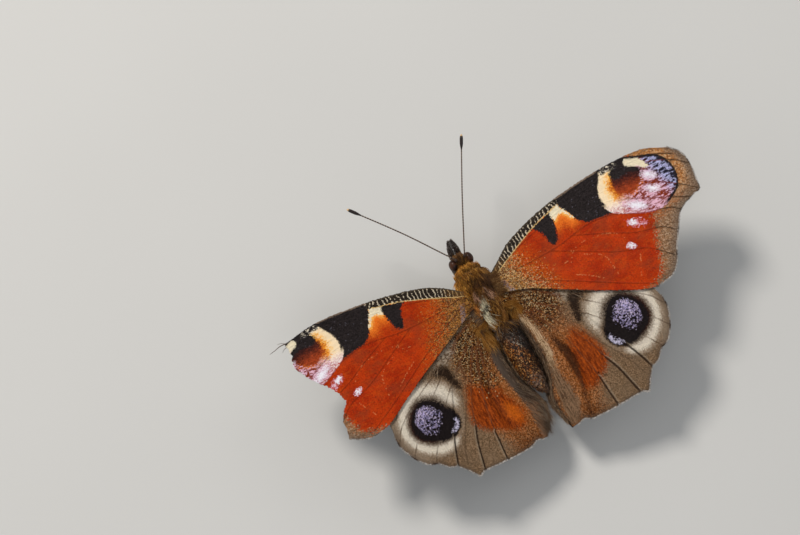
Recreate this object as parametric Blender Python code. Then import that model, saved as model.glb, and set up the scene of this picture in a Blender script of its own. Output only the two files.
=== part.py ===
# Peacock butterfly standing with its wings spread, life size.
# Metres, +Z up. The head looks along -Y and the animal's right side is at -X.
# Sizes below are in millimetres and are turned into metres where a mesh is made.

from math import cos, pi, radians, sin, tan

import bmesh
import bpy
from mathutils import Matrix, Vector

MM = 0.001
SIDES = {"left": 1, "right": -1}

# Wings: one curved sheet a side carries the forewing, and the hindwing hangs just under it
WING_THICKNESS = 0.5
WING_ROOT_HEIGHT = 7.9
HINDWING_DROP = 0.64
WING_RISE = {"left": radians(8.5), "right": radians(10.5)}
SPAN = 30.0
SPAN_BOW = 0.5
REAR_DROOP = 1.3
REAR_DROOP_START = 4.0
REAR_DROOP_LENGTH = 18.0
FORE_ROOT = (2.6, -1.0)
HIND_ROOT = (2.2, 2.2)

# How each wing is set on its root: turn, stretch along, stretch across, slant, lift, shift out, shift back
WING_SET = {
    ("fore", "right"): (0.0, 1.0, 1.0, 0.0, 0.0, 0.0, 0.0),
    ("fore", "left"): (radians(4.0), 1.055, 0.95, -0.06, 0.0, -0.15, -0.2),
    ("hind", "right"): (0.0, 1.0, 1.0, 0.0, 0.0, 0.0, 0.0),
    ("hind", "left"): (radians(2.7), 1.0, 0.925, 0.0, 0.04, 0.0, -0.9),
}

# Forewing outline: distance out from the root, distance forward of it
FORE_COSTA = [(-0.1, 0.6), (1.3, 1.4), (4.3, 3.0), (9.5, 4.2), (15.0, 4.65),
              (20.5, 4.6), (25.2, 4.0), (28.3, 2.4)]
FORE_APEX = [(28.3, 2.4), (29.5, 0.8), (29.7, -1.3), (29.1, -4.7)]
FORE_MARGIN = [(29.1, -4.7), (27.3, -5.1), (25.4, -5.9), (23.7, -8.1), (22.4, -9.8),
               (21.4, -11.5), (20.0, -12.7), (17.4, -13.0)]
FORE_HIND_EDGE = [(17.4, -13.0), (15.3, -12.2), (10.8, -9.4), (6.4, -6.4), (3.0, -4.0), (-0.1, -2.6)]

# The left forewing has lost its outer border from the tip to below the eyespot
TORN_COSTA = [(-0.1, 0.6), (2.0, 2.1), (4.8, 3.4), (10.1, 4.4), (15.5, 4.85), (19.5, 4.8), (23.6, 3.9)]
TORN_TIP = [(23.6, 3.9), (23.4, 2.1), (23.6, 0.3), (22.2, -2.3), (20.1, -5.0), (19.3, -7.0)]
TORN_STEP = [(19.3, -7.0), (20.6, -9.4), (20.6, -10.8), (20.8, -12.1)]
TORN_CORNER = [(20.8, -12.1), (18.6, -13.1), (16.6, -13.0)]
TORN_HIND_EDGE = [(16.6, -13.0), (15.1, -12.5), (11.8, -10.2), (8.6, -8.1), (5.0, -5.9), (-0.1, -2.6)]

# Hindwing outline, from the front edge that lies under the forewing round to the inner lobe
HIND_COSTA = [(0.75, 1.0), (4.5, 1.5), (9.5, -0.2), (14.0, -3.6), (16.8, -7.6), (17.75, -11.0)]
HIND_ROUND = [(17.75, -11.0), (17.6, -13.0), (16.7, -15.0), (15.5, -16.5),
              (14.2, -17.0), (13.1, -18.1), (12.0, -18.4)]
HIND_TOOTH = [(12.0, -18.4), (10.9, -19.7), (10.0, -21.0)]
HIND_REAR = [(10.0, -21.0), (8.9, -20.5), (5.5, -20.4), (2.3, -20.1), (0.9, -19.5), (-0.2, -19.7)]
FOLD_CREST = {
    "right": [(0.7, -1.4), (0.9, -3.8), (1.3, -6.8), (1.5, -9.3),
              (1.0, -12.1), (0.2, -14.0), (-0.3, -16.2), (-0.2, -19.7)],
    "left": [(0.7, -1.4), (0.8, -4.6), (1.0, -6.6), (0.9, -8.6),
             (0.6, -10.6), (0.0, -13.0), (-0.3, -15.6), (-0.2, -19.7)],
}

# Inner fold of the hindwing, which curls down beside the abdomen and a little under it:
# share of the wing's length, width and drop of the curve, then how far its lip goes in and down
FOLD_PROFILE = {
    "right": [(0.0, 0.1, 0.1, 0.0, 0.0), (0.12, 0.7, 1.2, 0.15, 1.2), (0.25, 0.75, 1.5, 0.25, 1.4),
              (0.35, 0.9, 1.6, 0.3, 1.3), (0.45, 1.0, 1.75, 0.3, 1.2), (0.6, 1.0, 1.75, 0.3, 1.1),
              (0.75, 1.1, 1.5, 0.3, 0.6), (0.9, 0.9, 0.9, 0.15, 0.2), (1.0, 0.8, 0.6, 0.0, 0.05)],
    "left": [(0.0, 0.1, 0.1, 0.0, 0.0), (0.12, 1.3, 1.4, 0.5, 1.3), (0.25, 1.6, 1.7, 0.75, 1.4),
             (0.35, 1.65, 1.75, 0.55, 1.4), (0.5, 1.5, 1.75, 0.4, 1.25), (0.6, 1.65, 1.7, 0.35, 0.9),
             (0.75, 1.9, 1.5, 0.5, 0.5), (0.87, 1.6, 1.1, 0.4, 0.3), (0.95, 0.9, 0.7, 0.2, 0.15),
             (1.0, 0.5, 0.5, 0.0, 0.05)],
}
FOLD_ROWS = 3
LIP_ROWS = 2
FOLD_ROOT_STEP = 0.12

FORE_STEPS = 22
FORE_ROWS = (5, 9)
TORN_ROWS = (7, 4, 3)
HIND_STEPS = 16
HIND_ROWS = (7, 3, 6)

# Body stations: distance back, middle across, middle height, half width, half height
THORAX_STATIONS = [
    (-4.35, 0.0, 6.2, 0.75, 0.8), (-3.95, 0.0, 6.2, 1.55, 1.6), (-3.0, 0.0, 6.1, 2.45, 2.4),
    (-1.4, 0.0, 6.0, 2.95, 2.85), (0.6, 0.0, 6.0, 2.95, 2.9), (2.4, -0.05, 6.0, 2.6, 2.6),
    (3.8, -0.15, 6.0, 1.95, 2.05), (4.55, -0.25, 6.0, 1.2, 1.35),
]
ABDOMEN_STATIONS = [
    (4.65, -0.35, 5.95, 1.05, 1.15), (5.4, -0.45, 5.85, 1.5, 1.5), (7.0, -0.5, 5.7, 1.78, 1.65),
    (9.5, -0.45, 5.5, 1.87, 1.7), (11.8, -0.4, 5.25, 1.8, 1.6), (13.6, -0.45, 5.0, 1.4, 1.3),
    (14.9, -0.65, 4.85, 0.85, 0.85), (15.75, -0.85, 4.75, 0.3, 0.35),
]
ABDOMEN_SEGMENTS = 8
SEGMENT_STEPS = 3
SEGMENT_GROOVE = 0.05
HEAD_STATIONS = [
    (-4.45, 0.0, 6.2, 0.65, 0.7), (-4.6, 0.0, 6.2, 0.95, 1.0), (-5.1, 0.0, 6.25, 1.35, 1.3),
    (-5.7, 0.0, 6.2, 1.3, 1.25), (-6.2, 0.0, 6.05, 0.95, 0.95), (-6.45, 0.0, 5.95, 0.45, 0.5),
]
BODY_SIDES = 20
THORAX_STEPS = 16
ABDOMEN_SIDES = 16
HEAD_SIDES = 18
HEAD_STEPS = 9

# Eyes bulge from sockets at the sides of the head
EYE_PLACE = (1.17, -5.25, 6.3)
EYE_HALF_SIZE = (0.62, 0.85, 0.95)
SOCKET_GAP = 0.06
EYE_FACES = (14, 9)

# Feelers: base, middle and tip of each, with the club at the end
FEELERS = {
    "left": [(0.62, -5.45, 7.62), (5.3, -12.1, 9.35), (10.15, -18.5, 10.45)],
    "right": [(0.62, -5.45, 7.62), (4.55, -12.7, 9.35), (8.6, -19.75, 10.45)],
}
FEELER_RADIUS = 0.25
CLUB_RADIUS = 0.4
CLUB_START = 0.87
CLUB_FULL = 0.8
CLUB_TURN = 0.75
FEELER_STEPS = 15

# Mouth parts
PALP_PATH = [(0.6, -5.95, 4.35), (0.56, -6.6, 4.85), (0.5, -7.25, 5.6), (0.4, -7.85, 6.3),
             (0.26, -8.35, 6.95)]
PALP_RADII = [0.26, 0.38, 0.4, 0.3, 0.12]
TONGUE_PLACE = (0.0, -6.35, 4.2)
TONGUE_RADIUS = 0.66
TONGUE_THICKNESS = 0.5
TONGUE_RIM = 0.72
TONGUE_STEPS = 6
TONGUE_SIDES = 16

# Legs: hip, knee, ankle and toe of the walking legs; the short forelegs stay folded under the head
LEG_PATHS = {
    "midleg": [(1.85, -0.9, 3.1), (5.2, -1.6, 4.9), (7.9, -2.6, 0.75), (10.2, -5.0, 0.22)],
    "hindleg": [(1.7, 1.6, 3.1), (4.6, 4.7, 4.7), (6.7, 8.9, 0.75), (8.3, 12.2, 0.22)],
}
LEG_RADII = {"hip": 0.36, "thigh": 0.42, "knee": 0.32, "shin": 0.3, "ankle": 0.27, "foot": 0.27,
             "toe": 0.25}
THIGH_SHARE = 0.45
SHIN_SHARE = 0.5
FOOT_SHARE = 0.16
JOINT_BEND = 0.32
FOLDED_LEG_PATH = [(0.8, -3.3, 3.85), (1.0, -4.1, 3.35), (1.05, -4.9, 3.4), (1.15, -5.6, 3.9)]
FOLDED_LEG_RADII = [0.3, 0.36, 0.32, 0.25]
TUBE_SIDES = 8
BAR_STEPS = 8

# Colour, roughness and metallic value of each material
MATERIALS = {
    "wing_red": ((0.52, 0.10, 0.02), 0.75, 0.0),
    "wing_brown": ((0.30, 0.18, 0.09), 0.8, 0.0),
    "body_hair": ((0.22, 0.12, 0.04), 0.9, 0.0),
    "abdomen_scales": ((0.10, 0.06, 0.035), 0.8, 0.0),
    "eye_brown": ((0.06, 0.025, 0.02), 0.25, 0.0),
    "feeler_brown": ((0.12, 0.08, 0.05), 0.6, 0.0),
    "leg_brown": ((0.20, 0.13, 0.07), 0.7, 0.0),
}


def clear_objects():
    for old in list(bpy.data.objects):
        bpy.data.objects.remove(old, do_unlink=True)


def make_material(name):
    colour, roughness, metallic = MATERIALS[name]
    material = bpy.data.materials.new(name)
    material.use_nodes = True
    shader = material.node_tree.nodes["Principled BSDF"]
    shader.inputs["Base Color"].default_value = (*colour, 1.0)
    shader.inputs["Roughness"].default_value = roughness
    shader.inputs["Metallic"].default_value = metallic
    return material


def add_object(name, bm, slot):
    """Turn a bmesh in millimetres into a smooth-shaded object in metres."""
    bmesh.ops.scale(bm, vec=(MM, MM, MM), verts=bm.verts)
    bmesh.ops.recalc_face_normals(bm, faces=bm.faces)
    mesh = bpy.data.meshes.new(name)
    bm.to_mesh(mesh)
    bm.free()
    mesh.shade_smooth()
    piece = bpy.data.objects.new(name, mesh)
    bpy.context.scene.collection.objects.link(piece)
    mesh.materials.append(bpy.data.materials.get(slot) or make_material(slot))
    return piece


def curve_point(points, t):
    """Point of a smooth curve through the given ones, with t from 0 to 1."""
    last = len(points) - 1
    place = min(max(t, 0.0), 1.0) * last
    i = min(int(place), last - 1)
    f = place - i
    p1, p2 = Vector(points[i]), Vector(points[i + 1])
    p0 = Vector(points[i - 1]) if i > 0 else p1 * 2 - p2
    p3 = Vector(points[i + 2]) if i + 2 <= last else p2 * 2 - p1
    return 0.5 * (2 * p1 + (p2 - p0) * f + (2 * p0 - 5 * p1 + 4 * p2 - p3) * f * f
                  + (3 * p1 - p0 - 3 * p2 + p3) * f * f * f)


def even_curve(points, steps):
    """Points at even distances along the smooth curve."""
    fine = [curve_point(points, i / 400) for i in range(401)]
    lengths = [0.0]
    for a, b in zip(fine, fine[1:]):
        lengths.append(lengths[-1] + (b - a).length)
    result = []
    i = 0
    for step in range(steps + 1):
        want = lengths[-1] * step / steps
        while i < 399 and lengths[i + 1] < want:
            i += 1
        part = (want - lengths[i]) / max(lengths[i + 1] - lengths[i], 1e-9)
        result.append(fine[i].lerp(fine[i + 1], min(part, 1.0)))
    return result


def joined_curves(stretches, counts):
    """Several smooth stretches joined at corners."""
    result = []
    for points, count in zip(stretches, counts):
        result.extend(even_curve(points, count)[:-1])
    result.append(Vector(stretches[-1][-1]))
    return result


def straight(a, b, steps):
    return [Vector(a).lerp(Vector(b), i / steps) for i in range(steps + 1)]


def profile_at(profile, share):
    """Values of a table at a share of the way, straight between its rows."""
    for low, high in zip(profile, profile[1:]):
        if share <= high[0]:
            t = (share - low[0]) / (high[0] - low[0])
            return [a + (b - a) * t for a, b in zip(low[1:], high[1:])]
    return list(profile[-1][1:])


def patch(front, rear, inner, outer):
    """Grid of points filling four border curves: front and rear run outwards, inner and outer run back."""
    across, back = len(front) - 1, len(inner) - 1
    grid = []
    for i in range(across + 1):
        u = i / across
        column = []
        for j in range(back + 1):
            v = j / back
            ruled = front[i] * (1 - v) + rear[i] * v + inner[j] * (1 - u) + outer[j] * u
            corners = (front[0] * (1 - u) * (1 - v) + front[-1] * u * (1 - v)
                       + rear[0] * (1 - u) * v + rear[-1] * u * v)
            column.append(ruled - corners)
        grid.append(column)
    return grid


def sheet_height(side, reach, back):
    """Height of the forewing's middle surface at a distance out from the body and back along it."""
    out = reach - FORE_ROOT[0]
    along = min(max(out / SPAN, 0.0), 1.0)
    rear = max((back - REAR_DROOP_START) / REAR_DROOP_LENGTH, 0.0)
    rise = tan(WING_RISE[side]) * out + SPAN_BOW * sin(pi * along)
    return WING_ROOT_HEIGHT + rise - REAR_DROOP * rear * rear


def wing_place(wing, side, out, forward):
    """World place, in millimetres, of a point of the wing's outline or inside."""
    turn, along, across, slant, lift, shift_out, shift_back = WING_SET[wing, side]
    root = FORE_ROOT if wing == "fore" else HIND_ROOT
    p = along * out + slant * forward + shift_out
    q = across * forward + lift * out + shift_back
    reach = root[0] + p * cos(turn) - q * sin(turn)
    back = root[1] - p * sin(turn) - q * cos(turn)
    height = sheet_height(side, reach, back) - (HINDWING_DROP if wing == "hind" else 0.0)
    return Vector((SIDES[side] * reach, back, height))


def sheet_object(name, grid, slot):
    """Give a grid of places the wing's thickness."""
    bm = bmesh.new()
    verts = [[bm.verts.new(place) for place in column] for column in grid]
    for a, b in zip(verts, verts[1:]):
        for j in range(len(a) - 1):
            bm.faces.new((a[j], b[j], b[j + 1], a[j + 1]))
    piece = add_object(name, bm, slot)
    solidify = piece.modifiers.new("thickness", "SOLIDIFY")
    solidify.thickness = WING_THICKNESS * MM
    solidify.offset = 0.0
    solidify.use_even_offset = True
    return piece


def make_forewing(side):
    if side == "right":
        front, rear = FORE_COSTA, FORE_HIND_EDGE
        outer = joined_curves([FORE_APEX, FORE_MARGIN], FORE_ROWS)
    else:
        front, rear = TORN_COSTA, TORN_HIND_EDGE
        outer = joined_curves([TORN_TIP, TORN_STEP, TORN_CORNER], TORN_ROWS)
    rows = len(outer) - 1
    grid = patch(even_curve(front, FORE_STEPS), even_curve(rear[::-1], FORE_STEPS),
                 straight(front[0], rear[-1], rows), outer)
    places = [[wing_place("fore", side, *point) for point in column] for column in grid]
    return sheet_object("forewing_" + side, places, "wing_red")


def make_hindwing(side):
    crest = even_curve(FOLD_CREST[side], HIND_STEPS)
    outer = joined_curves([HIND_ROUND, HIND_TOOTH, HIND_REAR], HIND_ROWS)
    rows = len(outer) - 1
    grid = patch(even_curve(HIND_COSTA, HIND_STEPS), crest,
                 straight(HIND_COSTA[0], FOLD_CREST[side][0], rows), outer)
    places = [[wing_place("hind", side, *point) for point in column] for column in grid]
    # The inner edge folds down beside the abdomen, and its lip turns in below
    rows = FOLD_ROWS + LIP_ROWS
    for i, column in enumerate(places):
        wide, deep, lip_in, lip_down = profile_at(FOLD_PROFILE[side], i / HIND_STEPS)
        edge = column[-1].copy()
        for row in range(1, rows + 1):
            bend = min(row / FOLD_ROWS, 1.0) * pi / 2
            lip = max(row - FOLD_ROWS, 0) / LIP_ROWS
            inward = wide * sin(bend) + lip_in * lip * lip
            down = deep * (1 - cos(bend)) + lip_down * lip
            column.append(edge + Vector((-SIDES[side] * inward, 0.0, -down)))
        if i == 0:
            for row in range(1, rows + 1):
                column[-row] = edge + Vector((0.0, FOLD_ROOT_STEP * (rows + 1 - row), 0.0))
    return sheet_object("hindwing_" + side, places, "wing_brown")


def loft(rings):
    """Close a row of rings into a solid skin with flat ends."""
    bm = bmesh.new()
    verts = [[bm.verts.new(place) for place in ring] for ring in rings]
    count = len(rings[0])
    for a, b in zip(verts, verts[1:]):
        for k in range(count):
            n = (k + 1) % count
            bm.faces.new((a[k], a[n], b[n], b[k]))
    bm.faces.new(verts[0][::-1])
    bm.faces.new(verts[-1])
    return bm


def body_ring(station, sides, inset=0.0):
    back, across, height, half_width, half_height = station
    ring = []
    for k in range(sides):
        angle = 2 * pi * k / sides
        ring.append(Vector((across + (half_width - inset) * cos(angle), back,
                            height + (half_height - inset) * sin(angle))))
    return ring


def make_trunk(name, stations, steps, sides, slot):
    rings = [body_ring(curve_point(stations, i / steps), sides) for i in range(steps + 1)]
    return add_object(name, loft(rings), slot)


def make_abdomen():
    """Ringed body part: each segment bulges a little between two grooves."""
    rings = []
    steps = ABDOMEN_SEGMENTS * SEGMENT_STEPS
    for i in range(steps + 1):
        groove = SEGMENT_GROOVE if i % SEGMENT_STEPS == 0 and 0 < i < steps else 0.0
        rings.append(body_ring(curve_point(ABDOMEN_STATIONS, i / steps), ABDOMEN_SIDES, groove))
    return add_object("abdomen", loft(rings), "abdomen_scales")


def ellipsoid(place, half_size, around, down):
    bm = bmesh.new()
    bmesh.ops.create_uvsphere(bm, u_segments=around, v_segments=down, radius=1.0)
    bmesh.ops.rotate(bm, verts=bm.verts, matrix=Matrix.Rotation(pi / 2, 3, "Y"))
    bmesh.ops.scale(bm, vec=half_size, verts=bm.verts)
    bmesh.ops.translate(bm, vec=place, verts=bm.verts)
    return bm


def mirrored(point, side):
    return Vector((point[0] * SIDES[side], *point[1:]))


def make_head():
    """Head with a socket for each eye."""
    head = make_trunk("head", HEAD_STATIONS, HEAD_STEPS, HEAD_SIDES, "body_hair")
    wide = [size + SOCKET_GAP for size in EYE_HALF_SIZE]
    for side in SIDES:
        hollow = ellipsoid(mirrored(EYE_PLACE, side), wide, *EYE_FACES)
        cutter = add_object("socket_" + side, hollow, "body_hair")
        cutter.hide_render = True
        cutter.display_type = "WIRE"
        cut = head.modifiers.new("socket_" + side, "BOOLEAN")
        cut.operation = "DIFFERENCE"
        cut.object = cutter
    return head


def make_eye(side):
    ball = ellipsoid(mirrored(EYE_PLACE, side), EYE_HALF_SIZE, *EYE_FACES)
    return add_object("eye_" + side, ball, "eye_brown")


def tube(points, radii, sides=TUBE_SIDES, on_floor=False):
    """Round bar along a row of points. On the floor its underside is flat at height 0."""
    rings = []
    side_way = None
    for i, point in enumerate(points):
        ahead = points[min(i + 1, len(points) - 1)] - points[max(i - 1, 0)]
        ahead.normalize()
        if side_way is None:
            side_way = ahead.cross(Vector((0, 0, 1)))
        side_way = (side_way - ahead * side_way.dot(ahead)).normalized()
        up = side_way.cross(ahead)
        ring = []
        for k in range(sides):
            angle = 2 * pi * (k + 0.5) / sides
            place = point + (side_way * cos(angle) + up * sin(angle)) * radii[i]
            if on_floor:
                place.z = max(place.z, 0.0)
            ring.append(place)
        rings.append(ring)
    return loft(rings)


def bent_bar(path, radii):
    """Round bar along a smooth curve, with radii given at even shares of it."""
    shares = [i / BAR_STEPS for i in range(BAR_STEPS + 1)]
    sizes = [(radius, 0.0) for radius in radii]
    return tube([curve_point(path, t) for t in shares], [curve_point(sizes, t)[0] for t in shares])


def make_feeler(side):
    path = [mirrored(point, side) for point in FEELERS[side]]
    points, radii = [], []
    for i in range(FEELER_STEPS + 1):
        t = i / FEELER_STEPS
        swell = max((t - CLUB_START) / (1 - CLUB_START), 0.0)
        full = sin(pi * min(swell, CLUB_FULL) * CLUB_TURN)
        points.append(curve_point(path, t))
        radii.append(FEELER_RADIUS + (CLUB_RADIUS - FEELER_RADIUS) * full)
    return add_object("antenna_" + side, tube(points, radii), "feeler_brown")


def make_palp(side):
    path = [mirrored(point, side) for point in PALP_PATH]
    return add_object("palp_" + side, bent_bar(path, PALP_RADII), "body_hair")


def make_tongue():
    """Coiled tongue, a flat round roll under the face."""
    rings = []
    for part in range(TONGUE_STEPS + 1):
        t = part / TONGUE_STEPS
        radius = TONGUE_RADIUS * (TONGUE_RIM + (1 - TONGUE_RIM) * sin(pi * t))
        middle = Vector(TONGUE_PLACE) + Vector(((t - 0.5) * TONGUE_THICKNESS, 0.0, 0.0))
        angles = [2 * pi * k / TONGUE_SIDES for k in range(TONGUE_SIDES)]
        rings.append([middle + Vector((0.0, radius * cos(a), radius * sin(a))) for a in angles])
    return add_object("proboscis", loft(rings), "feeler_brown")


def bend_points(path, radii, cut):
    """Path with each corner rounded over the given length."""
    points, thick = [path[0]], [radii[0]]
    for i in range(1, len(path) - 1):
        into = (path[i - 1] - path[i]).normalized() * cut
        out = (path[i + 1] - path[i]).normalized() * cut
        for t in (0.0, 0.5, 1.0):
            start, end = path[i] + into, path[i] + out
            points.append(start.lerp(path[i], t).lerp(path[i].lerp(end, t), t))
            thick.append(radii[i])
    points.append(path[-1])
    thick.append(radii[-1])
    return points, thick


def make_leg(kind, side):
    hip, knee, ankle, toe = [mirrored(point, side) for point in LEG_PATHS[kind]]
    size = LEG_RADII
    foot_start = ankle.lerp(toe, FOOT_SHARE)
    foot_start.z = toe.z
    thigh = hip.lerp(knee, THIGH_SHARE)
    shin = knee.lerp(ankle, SHIN_SHARE)
    radii = [size[part] for part in ("hip", "thigh", "knee", "shin", "ankle", "foot", "toe")]
    points, thick = bend_points([hip, thigh, knee, shin, ankle, foot_start, toe], radii, JOINT_BEND)
    return add_object(kind + "_" + side, tube(points, thick, on_floor=True), "leg_brown")


def make_folded_leg(side):
    path = [mirrored(point, side) for point in FOLDED_LEG_PATH]
    return add_object("foreleg_" + side, bent_bar(path, FOLDED_LEG_RADII), "leg_brown")


def stand_on_middle(pieces):
    """Move all pieces so that the middle of their common box lies over the world's middle."""
    graph = bpy.context.evaluated_depsgraph_get()
    corners = []
    for piece in pieces:
        shape = piece.evaluated_get(graph)
        corners.extend(vertex.co.copy() for vertex in shape.data.vertices)
    middle = [(min(c[i] for c in corners) + max(c[i] for c in corners)) / 2 for i in range(2)]
    for piece in bpy.context.scene.objects:
        for vertex in piece.data.vertices:
            vertex.co.x -= middle[0]
            vertex.co.y -= middle[1]


def build():
    clear_objects()
    pieces = [
        make_head(),
        make_trunk("thorax", THORAX_STATIONS, THORAX_STEPS, BODY_SIDES, "body_hair"),
        make_abdomen(),
        make_tongue(),
    ]
    for side in SIDES:
        pieces.append(make_eye(side))
        pieces.append(make_palp(side))
        pieces.append(make_feeler(side))
        pieces.append(make_forewing(side))
        pieces.append(make_hindwing(side))
        pieces.append(make_folded_leg(side))
        for kind in LEG_PATHS:
            pieces.append(make_leg(kind, side))
    bpy.context.view_layer.update()
    stand_on_middle(pieces)


build()
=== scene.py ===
from math import cos, pi, radians, sin, tan

import bpy
import numpy as np
from mathutils import Matrix, Vector


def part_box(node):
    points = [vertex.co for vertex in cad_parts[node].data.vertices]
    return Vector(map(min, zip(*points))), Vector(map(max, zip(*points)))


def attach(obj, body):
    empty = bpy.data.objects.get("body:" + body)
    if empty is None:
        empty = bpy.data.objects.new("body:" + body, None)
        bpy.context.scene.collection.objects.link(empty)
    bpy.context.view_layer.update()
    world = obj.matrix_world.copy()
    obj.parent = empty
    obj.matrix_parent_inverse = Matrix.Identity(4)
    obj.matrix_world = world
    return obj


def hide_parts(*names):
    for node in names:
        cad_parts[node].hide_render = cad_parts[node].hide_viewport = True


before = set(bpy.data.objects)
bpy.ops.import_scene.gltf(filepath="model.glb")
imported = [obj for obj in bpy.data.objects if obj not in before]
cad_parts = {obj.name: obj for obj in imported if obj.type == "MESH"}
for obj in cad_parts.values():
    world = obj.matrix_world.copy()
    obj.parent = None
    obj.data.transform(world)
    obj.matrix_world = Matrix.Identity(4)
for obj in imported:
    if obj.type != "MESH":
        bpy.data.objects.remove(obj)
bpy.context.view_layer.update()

# Peacock butterfly with its wings spread. Shapes are worked out in millimetres on the animal's own
# axes: +x is its left, +y its tail, +z up. placeInRow() turns them into the row frame in metres.
mm = 0.001
sideSign = {"left": 1, "right": -1}
tongueMiddle = (0.0, -6.35)  # ties these axes to the solids
low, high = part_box("proboscis")
rowShift = np.array([(low.x + high.x) / 2 / mm - tongueMiddle[0],
                     (low.y + high.y) / 2 / mm - tongueMiddle[1], 0.0])


def placeInRow(points):
    return (np.asarray(points, float) + rowShift) * mm


# curves, outlines and distances on flat plans


def smoothLine(points, count, fine=400):
    p = np.asarray(points, float)
    padded = np.vstack([2 * p[0] - p[1], p, 2 * p[-1] - p[-2]])
    t = np.linspace(0, len(p) - 1, fine + 1)
    i = np.minimum(t.astype(int), len(p) - 2)
    f = (t - i)[:, None]
    a, b, c, d = padded[i], padded[i + 1], padded[i + 2], padded[i + 3]
    dense = 0.5 * (2 * b + (c - a) * f + (2 * a - 5 * b + 4 * c - d) * f**2
                   + (3 * b - a - 3 * c + d) * f**3)
    reach = np.r_[0, np.cumsum(np.linalg.norm(np.diff(dense, axis=0), axis=1))]
    wanted = np.linspace(0, reach[-1], count + 1)
    return np.stack([np.interp(wanted, reach, dense[:, k]) for k in range(p.shape[1])], 1)


def smoothRing(points, perSpan=4):
    p = np.asarray(points, float)
    a, b, c, d = np.roll(p, 1, 0), p, np.roll(p, -1, 0), np.roll(p, -2, 0)
    spans = [0.5 * (2 * b + (c - a) * f + (2 * a - 5 * b + 4 * c - d) * f**2 + (3 * b - a - 3 * c + d) * f**3)
             for f in np.arange(perSpan) / perSpan]
    return np.stack(spans, 1).reshape(-1, 2)


def lineGap(points, line, sided=False):  # distance to an open line, signed by its side if asked
    best = np.full(len(points), 1e9)
    sign = np.ones(len(points))
    for a, b in zip(line[:-1], line[1:]):
        run, rel = b - a, points - a
        t = np.clip((rel @ run) / max(run @ run, 1e-12), 0, 1)
        gap = np.hypot(*(rel - t[:, None] * run).T)
        near = gap < best
        best = np.where(near, gap, best)
        if sided:
            sign = np.where(near, np.sign(run[0] * rel[:, 1] - run[1] * rel[:, 0]), sign)
    return best * sign


def depthInside(points, ring):  # millimetres inside a closed outline, negative outside
    gap = lineGap(points, np.vstack([ring, ring[:1]]))
    x, y = points.T
    inside = np.zeros(len(points), bool)
    for (ax, ay), (bx, by) in zip(ring, np.roll(ring, -1, 0)):
        if ay != by:
            inside ^= ((ay > y) != (by > y)) & (x < (bx - ax) * (y - ay) / (by - ay) + ax)
    return np.where(inside, gap, -gap)


def ovalDepth(points, oval):  # oval: x, y, half length, half width, tilt in degrees
    x, y, long, short, tilt = oval
    c, s = cos(radians(tilt)), sin(radians(tilt))
    dx, dy = points[:, 0] - x, points[:, 1] - y
    return (1 - np.hypot((dx * c + dy * s) / long, (dy * c - dx * s) / short)) * short


def easeIn(value, start, end):  # 0 at start, 1 at end
    t = np.clip((value - start) / (end - start), 0, 1)
    return t * t * (3 - 2 * t)


def unit(vectors):
    return vectors / np.maximum(np.linalg.norm(vectors, axis=-1, keepdims=True), 1e-9)


# meshes


def addPiece(name, points, faces, finishes, nodes=(), slot=None, slots=None, fields=None, spots=None, flat=False):
    # faces is a list of integer arrays, one for each number of corners; spots holds the bake map
    mesh = bpy.data.meshes.new(name)
    mesh.vertices.add(len(points))
    mesh.vertices.foreach_set("co", placeInRow(points).astype(np.float32).ravel())
    corners = np.concatenate([f.ravel() for f in faces]).astype(np.int32)
    sizes = np.concatenate([np.full(len(f), f.shape[1]) for f in faces])
    mesh.loops.add(len(corners))
    mesh.loops.foreach_set("vertex_index", corners)
    mesh.polygons.add(len(sizes))
    mesh.polygons.foreach_set("loop_start", np.r_[0, np.cumsum(sizes)[:-1]].astype(np.int32))
    if slots is not None:
        mesh.polygons.foreach_set("material_index", slots.astype(np.int32))
    for key, values in (fields or {}).items():
        values = np.asarray(values, np.float32)
        kind, part = ("FLOAT_VECTOR", "vector") if values.ndim == 2 else ("FLOAT", "value")
        mesh.attributes.new(key, kind, "POINT").data.foreach_set(part, values.ravel())
    if spots is not None:
        spots = spots[corners] if len(spots) == len(points) else spots
        mesh.uv_layers.new(name="OFBake").uv.foreach_set("vector", spots.astype(np.float32).ravel())
    mesh.update(calc_edges=True)
    mesh.polygons.foreach_set("use_smooth", np.full(len(sizes), not flat))
    for finish in finishes:
        mesh.materials.append(finish)
    piece = bpy.data.objects.new(name, mesh)
    bpy.context.scene.collection.objects.link(piece)
    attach(piece, "root")
    for node in nodes:
        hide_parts(node)
    return piece


def gridFaces(rows, columns, start=0, around=False):  # quads of a grid of points, row after row
    i, j = np.meshgrid(np.arange(rows - 1), np.arange(columns if around else columns - 1), indexing="ij")
    k = (j + 1) % columns
    return start + np.stack([i * columns + j, i * columns + k, (i + 1) * columns + k, (i + 1) * columns + j],
                            -1).reshape(-1, 4)


def repeatPattern(pattern, count, step):  # one small shape's faces, for each of its copies
    return (np.asarray(pattern)[None] + (np.arange(count) * step)[:, None, None]).reshape(-1, len(pattern[0]))


bakePatch = 0.0015  # half the width of one hair's or scale's place on the bake map


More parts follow.
